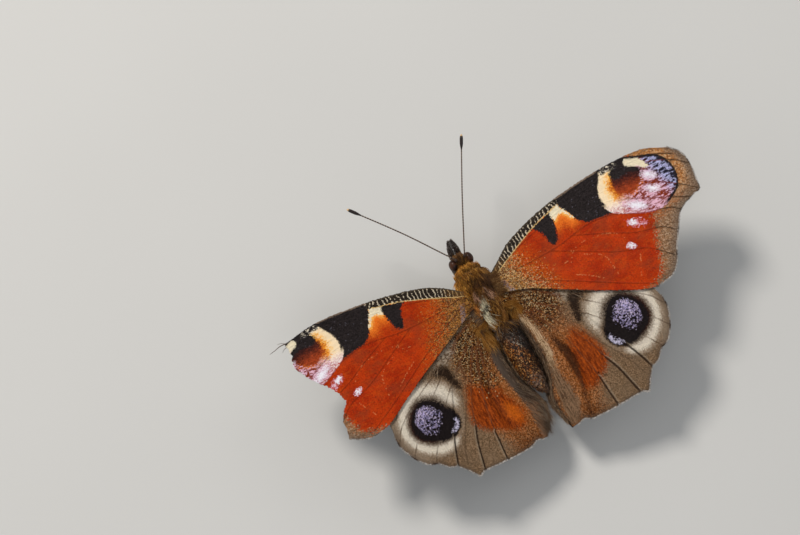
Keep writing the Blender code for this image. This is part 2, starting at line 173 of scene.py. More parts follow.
def makeStrands(roots, ways, ups, length, thick, rise=0.3, sag=0.3, rings=2, sink=0.08):
    # tapered three-sided hairs that leave the skin, bend over and end in a point
    count = len(roots)
    length, thick, rise, sag = (np.broadcast_to(x, count)[:, None] for x in (length, thick, rise, sag))
    sides = unit(np.cross(ups, ways))
    points, around = [], []
    for k in range(rings):
        t = k / rings
        middle = roots + ways * length * t + ups * (length * (rise * t - sag * t * t) - sink * (k == 0))
        for turn in (pi / 2, pi * 7 / 6, pi * 11 / 6):
            points.append(middle + (sides * cos(turn) + ups * sin(turn)) * thick * (1 - 0.65 * t))
            around.append((cos(turn) * (1 - t), sin(turn) * (1 - t), t))
    points.append(roots + ways * length + ups * length * (rise - sag))
    around.append((0, 0, 1))
    quads = [(3 * k + s, 3 * k + (s + 1) % 3, 3 * k + 3 + (s + 1) % 3, 3 * k + 3 + s)
             for k in range(rings - 1) for s in range(3)]
    last = 3 * (rings - 1)
    tris = [(last + s, last + (s + 1) % 3, last + 3) for s in range(3)] + [(2, 1, 0)]
    size = 3 * rings + 1
    faces = [repeatPattern(quads, count, size)] if quads else []
    faces.append(repeatPattern(tris, count, size))
    return np.stack(points, 1).reshape(-1, 3), faces, np.array(around), size


shingleShape = [(-0.3, 0.0), (0.02, -0.5), (0.6, -0.42), (0.6, 0.42), (0.02, 0.5), (0.2, 0.0)]  # along, across


def makeShingles(roots, ways, ups, length, width, tilt=0.12, sink=0.02, twist=0.0):
    # thin overlapping scales, each a closed wedge with its tip a little off the skin
    count = len(roots)
    length, width, tilt, twist = (np.broadcast_to(x, count)[:, None] for x in (length, width, tilt, twist))
    sides = unit(np.cross(ups, ways))
    points = []
    for k, (along, across) in enumerate(shingleShape):
        height = tilt * length * (along + 0.3) - sink + across * width * twist if k < 5 else -2 * sink
        points.append(roots + ways * length * along + sides * width * across + ups * height)
    tris = [(k, 5, (k + 1) % 5) for k in range(5)]
    around = np.array([(a - 0.15, b, a) for a, b in shingleShape])
    faces = [repeatPattern([(0, 1, 2, 3, 4)], count, 6), repeatPattern(tris, count, 6)]
    return np.stack(points, 1).reshape(-1, 3), faces, around, 6


def addCoat(name, made, finish, rootSpots, fields, seed, **more):
    # one piece of hairs or scales: every point carries its root's fields and a number of its own
    points, faces, around, size = made
    count = len(points) // size
    grain = np.random.default_rng(seed).random(count)
    carried = {key: np.repeat(values, size, axis=0) for key, values in fields.items()}
    carried["grain"] = np.repeat(grain, size)
    carried["tip"] = np.tile(around[:, 2], count)
    spots = np.repeat(rootSpots, size, axis=0) + np.tile(around[:, :2] * bakePatch * 1.6, (count, 1))
    return addPiece(name, points, faces, [finish], fields=carried, spots=spots, flat=True, **more)


# finishes: sockets that can be used in sums, and the nodes of one material


class Wire:
    def __init__(self, paint, socket):
        self.paint, self.socket = paint, socket

    def work(self, operation, *values):
        return self.paint.node("ShaderNodeMath", {"operation": operation}, dict(enumerate(values)))

    def __add__(self, other):
        return self.work("ADD", self, other)

    def __sub__(self, other):
        return self.work("SUBTRACT", self, other)

    def __rsub__(self, other):
        return self.work("SUBTRACT", other, self)

    def __mul__(self, other):
        return self.work("MULTIPLY", self, other)

    def __truediv__(self, other):
        return self.work("DIVIDE", self, other)

    def __gt__(self, other):
        return self.work("GREATER_THAN", self, other)

    def __lt__(self, other):
        return self.work("LESS_THAN", self, other)

    def __abs__(self):
        return self.work("ABSOLUTE", self)

    __radd__, __rmul__ = __add__, __mul__


class Paint:
    def __init__(self, name, **shine):
        self.material = bpy.data.materials.new(name)
        self.material.use_nodes = True
        self.tree = self.material.node_tree
        self.shader = self.tree.nodes["Principled BSDF"]
        for key, value in shine.items():
            self.shader.inputs[key.replace("_", " ")].default_value = value

    def node(self, kind, settings=None, sockets=None, out=0):
        made = self.tree.nodes.new(kind)
        for key, value in (settings or {}).items():
            if key == "stops":
                marks = made.color_ramp.elements
                marks.remove(marks[1])
                marks[0].position, marks[0].color = value[0][0], (*value[0][1], 1)
                for at, colour in value[1:]:
                    marks.new(at).color = (*colour, 1)
            else:
                setattr(made, key, value)
        for key, value in (sockets or {}).items():
            self.join(value, made.inputs[key])
        return [Wire(self, made.outputs[k]) for k in out] if isinstance(out, tuple) else Wire(self, made.outputs[out])

    def join(self, value, socket):
        if isinstance(value, Wire):
            self.tree.links.new(value.socket, socket)
        elif isinstance(value, tuple) and socket.type == "RGBA":
            socket.default_value = (*value, 1)
        else:
            socket.default_value = value

    def field(self, name):
        return self.node("ShaderNodeAttribute", {"attribute_name": name}, out=2)

    def place(self, name):
        return self.node("ShaderNodeAttribute", {"attribute_name": name}, out=1)

    def axes(self, vector):
        return self.node("ShaderNodeSeparateXYZ", sockets={0: vector}, out=(0, 1, 2))

    def stretch(self, vector, by):
        return self.node("ShaderNodeVectorMath", {"operation": "MULTIPLY"}, {0: vector, 1: by})

    def ease(self, value, start, end):  # 0 at start, 1 at end
        return self.node("ShaderNodeMapRange", {"interpolation_type": "SMOOTHSTEP"},
                         {"Value": value, "From Min": start, "From Max": end})

    def mix(self, factor, first, second):
        return self.node("ShaderNodeMix", {"data_type": "RGBA"}, {0: factor, 6: first, 7: second}, out=2)

    def tint(self, colour, strength):  # colour times a number that may be over 1
        vector = self.node("ShaderNodeCombineXYZ", sockets={0: strength, 1: strength, 2: strength})
        return self.node("ShaderNodeVectorMath", {"operation": "MULTIPLY"}, {0: colour, 1: vector})

    def noise(self, vector, scale, detail=2.0, rough=0.5):
        return self.node("ShaderNodeTexNoise", sockets={"Vector": vector, "Scale": scale, "Detail": detail,
                                                        "Roughness": rough})

    def chances(self, vector=None, scale=5.0):  # three random numbers, for each scale or for each small cell
        if vector is None:
            dice = self.node("ShaderNodeTexWhiteNoise", {"noise_dimensions": "1D"},
                             {"W": self.field("grain") * 977.0}, out=1)
        else:
            dice = self.node("ShaderNodeTexVoronoi", {"voronoi_dimensions": "2D"},
                             {"Vector": vector, "Scale": scale, "Randomness": 0.85}, out=1)
        return self.node("ShaderNodeSeparateColor", sockets={0: dice}, out=(0, 1, 2))

    def pick(self, number, choices):  # a random number chooses a colour: (share, colour) pairs
        at, stops = 0.0, []
        for share, colour in choices:
            stops.append((at, colour))
            at += share
        return self.node("ShaderNodeValToRGB", {"stops": stops}, {0: number}, out=0)

    def finish(self, colour=None, rough=None, relief=None, depth=0.02, strength=0.5):
        for value, socket in ((colour, "Base Color"), (rough, "Roughness")):
            if value is not None:
                self.join(value, self.shader.inputs[socket])
        if relief is not None:
            bump = self.node("ShaderNodeBump", sockets={"Strength": strength, "Distance": depth * mm,
                                                        "Height": relief})
            self.join(bump, self.shader.inputs["Normal"])
        return self.material


def steppedPick(paint, number, choices):
    wire = paint.pick(number, choices)
    wire.socket.node.color_ramp.interpolation = "CONSTANT"
    return wire


# the wings' plans, out from the root and forward of it, on the right wing's measure

wingShape = {
    "rootHeight": 7.9, "span": 30.0, "bow": 0.5, "droop": 1.3, "droopStart": 4.0, "droopLength": 18.0,
    "rise": {"left": 8.5, "right": 10.5},
    "root": {"fore": (2.6, -1.0), "hind": (2.2, 2.2)},
    "below": {"fore": 0.07, "hind": 0.49},  # how far the top of each wing's skin lies under the common sheet
    "thickness": 0.1,
    "set": {  # turn, stretch along, stretch across, slant, lift, shift out, shift back
        ("fore", "right"): (0.0, 1.0, 1.0, 0.0, 0.0, 0.0, 0.0),
        ("fore", "left"): (4.0, 1.055, 0.95, -0.06, 0.0, -0.15, -0.2),
        ("hind", "right"): (0.0, 1.0, 1.0, 0.0, 0.0, 0.0, 0.0),
        ("hind", "left"): (2.7, 1.0, 0.925, 0.0, 0.04, 0.0, -0.9),
    },
}

foreCosta = [(-0.1, 0.6), (1.3, 1.4), (4.3, 3.0), (9.5, 4.2), (15.0, 4.65), (20.5, 4.6), (25.2, 4.0), (28.3, 2.4)]
foreApex = [(28.3, 2.4), (29.5, 0.8), (29.7, -1.3), (29.1, -4.7)]
foreMargin = [(29.1, -4.7), (27.3, -5.1), (25.4, -5.9), (23.7, -8.1), (22.4, -9.8),
              (21.4, -11.5), (20.0, -12.7), (17.4, -13.0)]
foreRear = [(17.4, -13.0), (15.3, -12.2), (10.8, -9.4), (6.4, -6.4), (3.0, -4.0), (-0.1, -2.6)]
tornCosta = [(-0.1, 0.6), (2.0, 2.1), (4.8, 3.4), (10.1, 4.4), (15.5, 4.85), (19.5, 4.8), (23.6, 3.9)]
tornTip = [(23.6, 3.9), (23.4, 2.1), (23.6, 0.3), (22.2, -2.3), (20.1, -5.0), (19.3, -7.0)]
tornStep = [(19.3, -7.0), (20.6, -9.4), (20.6, -10.8), (20.8, -12.1)]
tornCorner = [(20.8, -12.1), (18.6, -13.1), (16.6, -13.0)]
tornRear = [(16.6, -13.0), (15.1, -12.5), (11.8, -10.2), (8.6, -8.1), (5.0, -5.9), (-0.1, -2.6)]
hindCosta = [(0.75, 1.0), (4.5, 1.5), (9.5, -0.2), (14.0, -3.6), (16.8, -7.6), (17.75, -11.0)]
hindCostaLeft = [(0.75, 1.9), (2.6, 2.0), (5.0, 1.7), (9.9, 0.35), (14.6, -3.1), (17.25, -7.45), (17.75, -11.0)]
hindRound = [(17.75, -11.0), (17.6, -13.0), (16.7, -15.0), (15.5, -16.5), (14.2, -17.0), (13.1, -18.1), (12.0, -18.4)]
hindTooth = [(12.0, -18.4), (10.9, -19.7), (10.0, -21.0)]
hindTail = [(10.0, -21.0), (8.9, -20.5), (5.5, -20.4), (2.3, -20.1), (0.9, -19.5), (-0.2, -19.7)]
hindCrest = {
    "right": [(0.7, -1.4), (0.9, -3.8), (1.3, -6.8), (1.5, -9.3), (1.0, -12.1), (0.2, -14.0), (-0.3, -16.2),
              (-0.2, -19.7)],
    "left": [(0.7, -1.4), (0.8, -4.6), (1.0, -6.6), (0.9, -8.6), (0.6, -10.6), (0.0, -13.0), (-0.3, -15.6),
             (-0.2, -19.7)],
}
hindFold = {  # share of the wing's length, width and drop of the fold's curve, how far its lip goes in and down
    "right": [(0.0, 0.1, 0.1, 0.0, 0.0), (0.12, 0.7, 1.2, 0.15, 1.2), (0.25, 0.75, 1.5, 0.25, 1.4),
              (0.35, 0.9, 1.6, 0.3, 1.3), (0.45, 1.0, 1.75, 0.3, 1.2), (0.6, 1.0, 1.75, 0.3, 1.1),
              (0.75, 1.1, 1.5, 0.3, 0.6), (0.9, 0.9, 0.9, 0.15, 0.2), (1.0, 0.8, 0.6, 0.0, 0.05)],
    "left": [(0.0, 0.1, 0.1, 0.0, 0.0), (0.12, 1.3, 1.4, 0.5, 1.3), (0.25, 1.6, 1.7, 0.75, 1.4),
             (0.35, 1.65, 1.75, 0.55, 1.4), (0.5, 1.5, 1.75, 0.4, 1.25), (0.6, 1.65, 1.7, 0.35, 0.9),
             (0.75, 1.9, 1.5, 0.5, 0.5), (0.87, 1.6, 1.1, 0.4, 0.3), (0.95, 0.9, 0.7, 0.2, 0.15),
             (1.0, 0.5, 0.5, 0.0, 0.05)],
    "rows": (9, 6),
    "start": {"right": (1.0, 1.2, 0.2, 0.9), "left": (1.3, 1.2, 0.3, 0.9)},
    # share of the length, how far the lip's hem wraps in and down under the abdomen
    "hem": [(0.0, 0.15, 0.3), (0.12, 0.45, 0.6), (0.3, 0.7, 0.7), (0.55, 0.6, 0.6), (0.75, 0.2, 0.3), (1.0, 0.0, 0.05)],
    "hemRows": 4,
}
for side, start in hindFold["start"].items():
    hindFold[side][0] = (0.0, *start)

# veins, in the same measure
veins = {
    "fore": [
        [(0.2, 0.7), (3.0, 1.8), (6.0, 2.9), (10.0, 3.75), (15.0, 4.3), (19.0, 4.6)],
        [(0.2, 0.4), (4.0, 1.4), (8.0, 2.2), (12.5, 2.9), (17.0, 3.4), (22.0, 3.4), (26.0, 2.7), (28.6, 1.2)],
        [(13.5, 3.0), (18.0, 3.9), (22.5, 4.35)],
        [(20.5, 3.5), (24.5, 2.4), (28.0, 0.6), (29.6, -0.9)],
        [(13.6, 2.9), (14.2, 1.8), (18.0, 1.8), (22.9, 0.3), (26.7, -2.4), (29.0, -4.6)],
        [(14.2, 1.8), (14.4, 0.6), (17.5, 0.4), (19.2, -0.3), (23.9, -2.9), (27.3, -5.0)],
        [(0.2, -0.1), (2.5, -0.7), (5.4, -1.1), (9.1, -1.3), (11.1, -1.1), (14.4, -0.9), (17.7, -1.7), (20.8, -3.5),
         (24.3, -4.8), (25.6, -5.9)],
        [(11.5, -1.1), (14.8, -2.9), (18.6, -5.2), (22.1, -6.5), (23.4, -7.7)],
        [(8.0, -1.3), (11.5, -3.6), (15.5, -6.3), (19.0, -7.9), (21.6, -10.6)],
        [(0.2, -1.2), (4.0, -3.4), (9.0, -6.8), (13.5, -10.0), (17.5, -12.6)],
    ],
    "hind": [
        [(0.9, 0.5), (6.0, 0.3), (12.0, -3.4), (16.7, -9.0)],
        [(1.0, 0.0), (3.5, -0.9), (6.7, -4.0), (10.7, -5.9), (15.8, -9.6), (17.8, -12.4)],
        [(6.7, -4.0), (10.0, -7.2), (13.6, -10.6), (15.5, -13.1), (16.7, -14.9)],
        [(3.2, -3.0), (6.0, -5.6), (8.8, -8.6), (11.5, -12.0), (13.2, -14.6), (14.5, -16.8)],
        [(5.2, -5.0), (6.2, -8.7), (9.8, -15.9), (10.8, -18.8)],
        [(2.6, -3.4), (4.6, -7.0), (6.4, -11.0), (7.4, -14.2)],
        [(2.2, -3.6), (3.8, -8.0), (4.8, -12.0), (5.4, -16.0)],
        [(1.6, -3.0), (2.4, -6.5), (3.1, -9.5)],
    ],
}
creases = [  # sharp pleats of the hindwing
    [(8.0, -8.2), (9.6, -12.4), (10.6, -14.3), (11.3, -16.1), (12.0, -18.4)],
    [(7.4, -14.2), (8.2, -16.6), (9.0, -20.5)],
    [(5.4, -16.0), (5.5, -18.1), (5.65, -20.4)],
]
valley = [(2.9, -8.4), (3.4, -11.2), (3.3, -13.1), (3.0, -15.6), (2.4, -18.0), (2.1, -19.9)]
scratches = [  # fine pale rub marks in the red
    [(9.9, -2.5), (10.4, -3.0), (9.5, -4.2)], [(11.2, -3.9), (13.7, -5.8), (14.0, -9.1)],
    [(9.2, -5.9), (10.7, -7.0), (12.3, -8.5)], [(18.0, -7.9), (16.4, -10.8)],
    [(8.5, -3.8), (10.0, -3.6), (11.2, -2.6), (13.1, -2.7), (14.8, -3.1), (16.4, -3.9), (17.2, -5.2)],
]
veinLines = {kind: [smoothLine(v, 22) for v in lines] for kind, lines in veins.items()}
creaseLines = [smoothLine(c, 16) for c in creases]
valleyLine = smoothLine(valley, 20)
scratchLines = [smoothLine(s, 12) for s in scratches]


def sheetHeight(side, reach, back):
    s = wingShape
    out = reach - s["root"]["fore"][0]
    along = np.clip(out / s["span"], 0, 1)
    rear = np.maximum((back - s["droopStart"]) / s["droopLength"], 0)
    return s["rootHeight"] + tan(radians(s["rise"][side])) * out + s["bow"] * np.sin(pi * along) - s["droop"] * rear**2


def onSheet(kind, side, plan):  # smooth place of plan points, without veins and pleats
    turn, along, across, slant, lift, shiftOut, shiftBack = wingShape["set"][kind, side]
    c, s = cos(radians(turn)), sin(radians(turn))
    p = along * plan[:, 0] + slant * plan[:, 1] + shiftOut
    q = across * plan[:, 1] + lift * plan[:, 0] + shiftBack
    rootOut, rootBack = wingShape["root"][kind]
    reach, back = rootOut + p * c - q * s, rootBack - p * s - q * c
    height = sheetHeight(side, reach, back) - wingShape["below"][kind]
    return np.stack([sideSign[side] * reach, back, height], 1)


def veinGap(kind, plan):
    return np.min([lineGap(plan, line) for line in veinLines[kind]], axis=0)


def relief(kind, side, plan):  # veins, pleats and a slow wave, in millimetres
    gap = veinGap(kind, plan)
    x, y = plan.T
    height = 0.05 * np.exp(-(gap / 0.1)**2) - 0.05 * np.exp(-(gap / 0.55)**2)
    height += 0.09 * np.sin(0.42 * x + 0.3 * y + 0.8) * np.sin(0.5 * y - 0.2 * x) * easeIn(x, 1, 9)
    if kind == "hind":
        for line, deep in zip(creaseLines, (0.13, 0.15, 0.12)):
            s = lineGap(plan, line, sided=True)
            height += deep * np.tanh(s / 0.1) * np.exp(-(s / 0.8)**2)
        gap = lineGap(plan, valleyLine)
        height -= (0.34 if side == "right" else 0.14) * np.exp(-(gap / 0.42)**2)
        height += 0.16 * np.exp(-((gap - 0.95) / 0.5)**2)
    return height


def onWing(kind, side, plan):
    place = onSheet(kind, side, plan)
    place[:, 2] += relief(kind, side, plan)
    return place


def coonsPatch(front, rear, inner, outer):
    u = np.linspace(0, 1, len(front))[:, None, None]
    v = np.linspace(0, 1, len(inner))[None, :, None]
    ruled = front[:, None] * (1 - v) + rear[:, None] * v + inner[None] * (1 - u) + outer[None] * u
    corners = front[0] * (1 - u) * (1 - v) + front[-1] * u * (1 - v) + rear[0] * (1 - u) * v + rear[-1] * u * v
    return ruled - corners


def joinedLines(stretches, counts):
    lines = [smoothLine(points, count)[:-1] for points, count in zip(stretches, counts)]
    return np.vstack([*lines, [stretches[-1][-1]]])


def raggedEdge(line, amount, seed):  # small teeth along a margin
    rng = np.random.default_rng(seed)
    run = np.gradient(line, axis=0)
    across = unit(np.stack([run[:, 1], -run[:, 0]], 1))
    teeth = rng.normal(0, 1, len(line)) * amount
    teeth[[0, -1]] = 0
    return line + across * teeth[:, None]


def wingBorders(kind, side, steps=150):
    if kind == "hind":
        front, rear = (hindCosta if side == "right" else hindCostaLeft), hindCrest[side]
        outer = joinedLines([hindRound, hindTooth, hindTail], (44, 14, 42))
        ragged = np.full(len(outer), 0.03)
    elif side == "right":
        front, rear = foreCosta, foreRear[::-1]
        outer = joinedLines([foreApex, foreMargin], (30, 64))
        ragged = np.full(len(outer), 0.035)
    else:
        front, rear = tornCosta, tornRear[::-1]
        outer = joinedLines([tornTip, tornStep, tornCorner], (56, 24, 20))
        ragged = np.r_[np.full(70, 0.075), np.full(len(outer) - 70, 0.03)]
    outer = raggedEdge(outer, ragged, 5)
    front, rear = smoothLine(front, steps), smoothLine(rear, steps)
    inner = front[0] + (rear[0] - front[0]) * np.linspace(0, 1, len(outer))[:, None]
    return front, rear, inner, outer


# markings, as outlines on the plans

foreMarks = {key: smoothRing(ring) for key, ring in {
    "outerBlack": [(12.5, 5.4), (15.8, 5.8), (18.9, 5.4), (19.1, 4.6), (18.5, 4.1), (17.9, 3.6), (17.4, 2.7),
                   (17.0, 1.6), (16.95, 0.5), (17.2, -0.5), (17.7, -1.4), (16.5, -1.2), (15.2, -0.9), (14.3, -0.75),
                   (13.7, -0.3), (13.1, 0.5), (12.75, 1.5), (12.3, 2.4), (11.95, 3.2), (12.0, 4.2)],
    "tooth": [(7.4, 2.75), (9.2, 3.1), (10.8, 3.4), (10.55, 2.3), (10.2, 1.0), (9.75, -0.2), (9.25, -0.85),
              (8.75, -0.8), (8.5, -0.2), (8.4, 0.6), (8.25, 1.4), (7.9, 2.1)],
    "costalCream": [(10.6, 3.5), (11.4, 4.2), (12.1, 4.4), (12.0, 3.4), (12.3, 2.7), (12.6, 1.9), (12.95, 1.0),
                    (12.6, 1.35), (12.2, 2.15), (11.6, 2.45), (11.1, 2.3), (10.6, 2.0), (10.45, 2.8)],
    "crescent": [(20.5, 4.7), (19.5, 5.0), (18.7, 4.4), (18.0, 3.6), (17.4, 2.7), (17.0, 1.6), (16.95, 0.5),
                 (17.2, -0.6), (17.6, -1.35), (18.3, -2.0), (19.1, -1.9), (18.9, -1.0), (18.8, -0.2), (18.85, 0.5),
                 (18.85, 1.2), (19.1, 2.0), (19.6, 2.6), (20.1, 3.1), (20.9, 3.5), (21.4, 3.9), (21.2, 4.4)],
    "creamWedge": [(22.3, 3.6), (22.9, 4.1), (23.8, 3.7), (24.5, 2.9), (25.0, 1.7), (24.4, 1.6), (23.9, 2.2),
                   (23.0, 2.7), (22.4, 3.1)],
    "eye": [(20.0, 5.2), (22.4, 4.5), (23.9, 3.8), (25.0, 3.3), (26.1, 2.75), (27.0, 1.95), (27.6, 0.7),
            (27.75, -0.8), (27.3, -2.4), (26.6, -3.2), (25.4, -3.85), (24.2, -4.3), (22.8, -4.25), (21.3, -3.75),
            (19.6, -2.8), (18.2, -1.95), (17.5, -1.3), (17.1, -0.5), (16.9, 0.5), (16.95, 1.6), (17.4, 2.7),
            (18.0, 3.6), (18.9, 4.8)],
    "blob": [(19.7, 3.0), (20.8, 3.6), (22.0, 3.4), (23.2, 2.7), (23.8, 1.9), (23.7, 1.0), (23.0, 0.1),
             (22.2, -0.35), (21.2, -0.8), (20.0, -0.55), (19.1, 0.2), (18.95, 1.3), (19.15, 2.2)],
    "blobBlack": [(19.8, 3.1), (20.6, 3.9), (22.2, 3.7), (23.3, 2.75), (23.8, 1.95), (23.3, 1.75), (22.5, 2.15),
                  (21.5, 2.3), (20.8, 2.1), (20.1, 2.3)],
    "zebra": [(-0.8, 1.2), (2.0, 4.0), (7.0, 5.2), (12.5, 6.0), (12.15, 4.2), (11.9, 3.65), (10.6, 3.3), (9.2, 3.05),
              (7.6, 2.65), (6.0, 2.1), (4.2, 1.45), (2.4, 0.75), (0.6, 0.0), (-1.0, -0.3)],
    "band": [(24.2, 6.0), (27.0, 6.0), (32.0, 3.0), (32.0, -6.0), (25.0, -14.5), (17.0, -15.0), (14.8, -12.9),
             (17.2, -12.45), (18.7, -11.8), (19.3, -10.8), (19.8, -9.6), (20.3, -8.1), (21.0, -6.6), (21.9, -5.3),
             (24.0, -4.4), (25.4, -3.9), (26.6, -3.3), (27.3, -2.4), (27.75, -0.8), (27.6, 0.7), (27.0, 1.95),
             (26.1, 2.75), (25.0, 3.35), (24.0, 4.0)],
}.items()}
foreSpots = [(24.4, 0.5, 0.72, 0.36, -34), (23.9, -1.4, 0.66, 0.34, -34), (20.9, -2.3, 1.0, 0.42, -34),
             (19.2, -3.95, 0.52, 0.30, -34), (17.4, -6.6, 0.46, 0.30, -34)]
foreHalo = (19.7, -4.3, 1.75, 0.75, -34)
hindMarks = {key: smoothRing(ring) for key, ring in {
    "eye": [(10.7, -8.9), (9.9, -10.0), (9.2, -11.0), (8.9, -12.0), (9.05, -12.9), (9.7, -13.7), (10.6, -14.2),
            (11.6, -14.3), (12.7, -14.1), (13.9, -13.7), (14.8, -13.0), (15.2, -12.2), (15.3, -11.3), (15.1, -10.3),
            (14.5, -9.2), (13.8, -8.5), (12.9, -8.0), (11.9, -8.05), (11.2, -8.4)],
    "violet": [(12.5, -8.6), (13.4, -8.8), (14.1, -9.7), (14.5, -10.8), (14.3, -11.8), (13.8, -12.7), (12.9, -13.1),
               (12.0, -12.9), (11.6, -12.2), (11.0, -11.5), (10.7, -10.9), (10.7, -10.2), (11.2, -9.6), (11.8, -8.9)],
    "glint": [(9.35, -11.75), (9.0, -12.1), (9.05, -12.8), (9.5, -13.5), (10.2, -13.95), (10.65, -13.75), (10.3, -13.2),
              (9.8, -12.7), (9.6, -12.1)],
    "halo": [(11.0, -5.0), (9.5, -5.6), (8.3, -6.3), (7.6, -7.4), (7.3, -8.6), (7.4, -10.2), (7.8, -11.8),
             (8.4, -13.3), (9.2, -14.7), (10.5, -15.9), (12.0, -16.6), (13.6, -16.5), (14.8, -15.8), (16.1, -14.7),
             (16.9, -13.3), (17.3, -11.8), (17.2, -10.0), (16.4, -8.0), (15.0, -6.4), (13.0, -5.1)],
    "smudge": [(7.4, -4.2), (8.8, -4.4), (9.4, -5.2), (8.3, -5.8), (7.7, -6.9), (7.3, -7.9), (6.7, -8.4), (6.6, -7.4),
               (6.8, -6.4), (6.9, -5.2)],
    "rust": [(5.4, -8.7), (6.3, -9.3), (7.0, -10.4), (7.6, -11.8), (7.7, -13.1), (7.3, -14.5), (6.3, -15.7),
             (5.1, -16.5), (3.9, -16.6), (3.2, -16.0), (3.0, -14.6), (3.2, -12.6), (3.6, -10.8), (4.4, -9.4)],
    "ember": [(4.4, -8.9), (5.6, -8.6), (6.3, -9.6), (7.2, -11.6), (7.3, -13.6), (6.6, -15.0), (4.8, -16.2),
              (2.4, -16.9), (1.0, -16.4), (0.6, -14.7), (1.3, -12.4), (2.2, -10.4)],
    "strip": [(0.2, -2.6), (0.8, -3.2), (1.35, -4.6), (1.75, -6.4), (1.85, -8.6), (1.65, -10.5), (1.35, -12.0),
              (1.5, -13.5), (1.7, -15.5), (1.5, -17.5), (0.6, -19.4), (-1.2, -19.4), (-1.0, -16.5), (-0.5, -13.5),
              (0.0, -11.5), (0.5, -9.5), (0.75, -7.3), (0.7, -5.7), (0.2, -4.4)],
    "ticking": [(-1.0, 2.4), (4.7, 2.0), (7.4, -1.6), (7.6, -3.9), (6.2, -5.4), (4.8, -6.6), (3.0, -7.4), (1.6, -6.8),
                (0.4, -4.0), (-1.0, -2.0)],
    "tickingLeft": [(-1.0, 2.4), (4.4, 2.0), (6.4, -1.2), (6.4, -4.0), (6.2, -6.4), (5.0, -9.0), (3.2, -10.8),
                    (1.7, -9.4), (0.4, -5.0), (-1.0, -2.0)],
}.items()}
costaLine = smoothLine(foreCosta, 60)
tornCostaLine = smoothLine(tornCosta, 60)


def foreFields(side, plan):
    m = {key: depthInside(plan, ring) for key, ring in foreMarks.items()}
    return {
        "plan": np.c_[plan, np.zeros(len(plan))],
        "black": np.maximum(m["outerBlack"], m["tooth"]),
        "cream": np.maximum(m["costalCream"], m["creamWedge"]),
        "crescent": m["crescent"], "eyeSpot": m["eye"], "blob": m["blob"], "blobBlack": m["blobBlack"],
        "zebra": m["zebra"], "band": m["band"],
        "whites": np.max([ovalDepth(plan, spot) for spot in foreSpots], axis=0),
        "haze": ovalDepth(plan, foreHalo),
        "costa": lineGap(plan, costaLine if side == "right" else tornCostaLine),
        "margin": np.min([lineGap(plan, smoothLine(line, 40)) for line in (foreApex, foreMargin)], axis=0),
        "vein": veinGap("fore", plan),
        # 1 on the right wing, whose root gets paler ticks as painted light
        "sunny": np.full(len(plan), 1.0 if side == "right" else 0.0),
        "scratch": np.min([lineGap(plan, line) for line in scratchLines], axis=0),
    }


def hindFields(side, plan):
    m = {key: depthInside(plan, ring) for key, ring in hindMarks.items()}
    crease = [lineGap(plan, line, sided=True) for line in creaseLines]
    nearest = np.argmin(np.abs(crease), axis=0)
    return {
        "plan": np.c_[plan, np.zeros(len(plan))],
        "eyeSpot": m["eye"], "violet": m["violet"], "glint": m["glint"], "smudge": m["smudge"],
        "rust": m["rust"] if side == "right" else m["ember"], "halo": m["halo"],
        "ticking": m["ticking"] if side == "right" else m["tickingLeft"],
        "mist": ovalDepth(plan, (7.1, -4.1, 1.3, 0.8, -55) if side == "right" else (6.7, -3.0, 2.3, 1.0, -42)),
        "strip": m["strip"] if side == "right" else np.full(len(plan), -9.0),
        "greyLip": lineGap(plan, smoothLine(hindCrest[side], 30), sided=True)
        if side == "left" else np.full(len(plan), 9.0),
        "crease": np.take_along_axis(np.array(crease), nearest[None], 0)[0],
        "valley": lineGap(plan, valleyLine),
        # strength of the painted shade in the valley fold, stronger on the right wing
        "valleyDeep": np.full(len(plan), 0.9 if side == "right" else 0.25),
        "fireSpot": ovalDepth(plan, (1.9, -14.5, 1.9, 1.0, 75)) if side == "left" else np.full(len(plan), -9.0),
        "vein": veinGap("hind", plan),
        "margin": np.min([lineGap(plan, smoothLine(line, 40)) for line in (hindRound, hindTooth, hindTail)], axis=0),
    }


markings = {"fore": foreFields, "hind": hindFields}
white, ink = (0.82, 0.79, 0.84), (0.016, 0.012, 0.012)


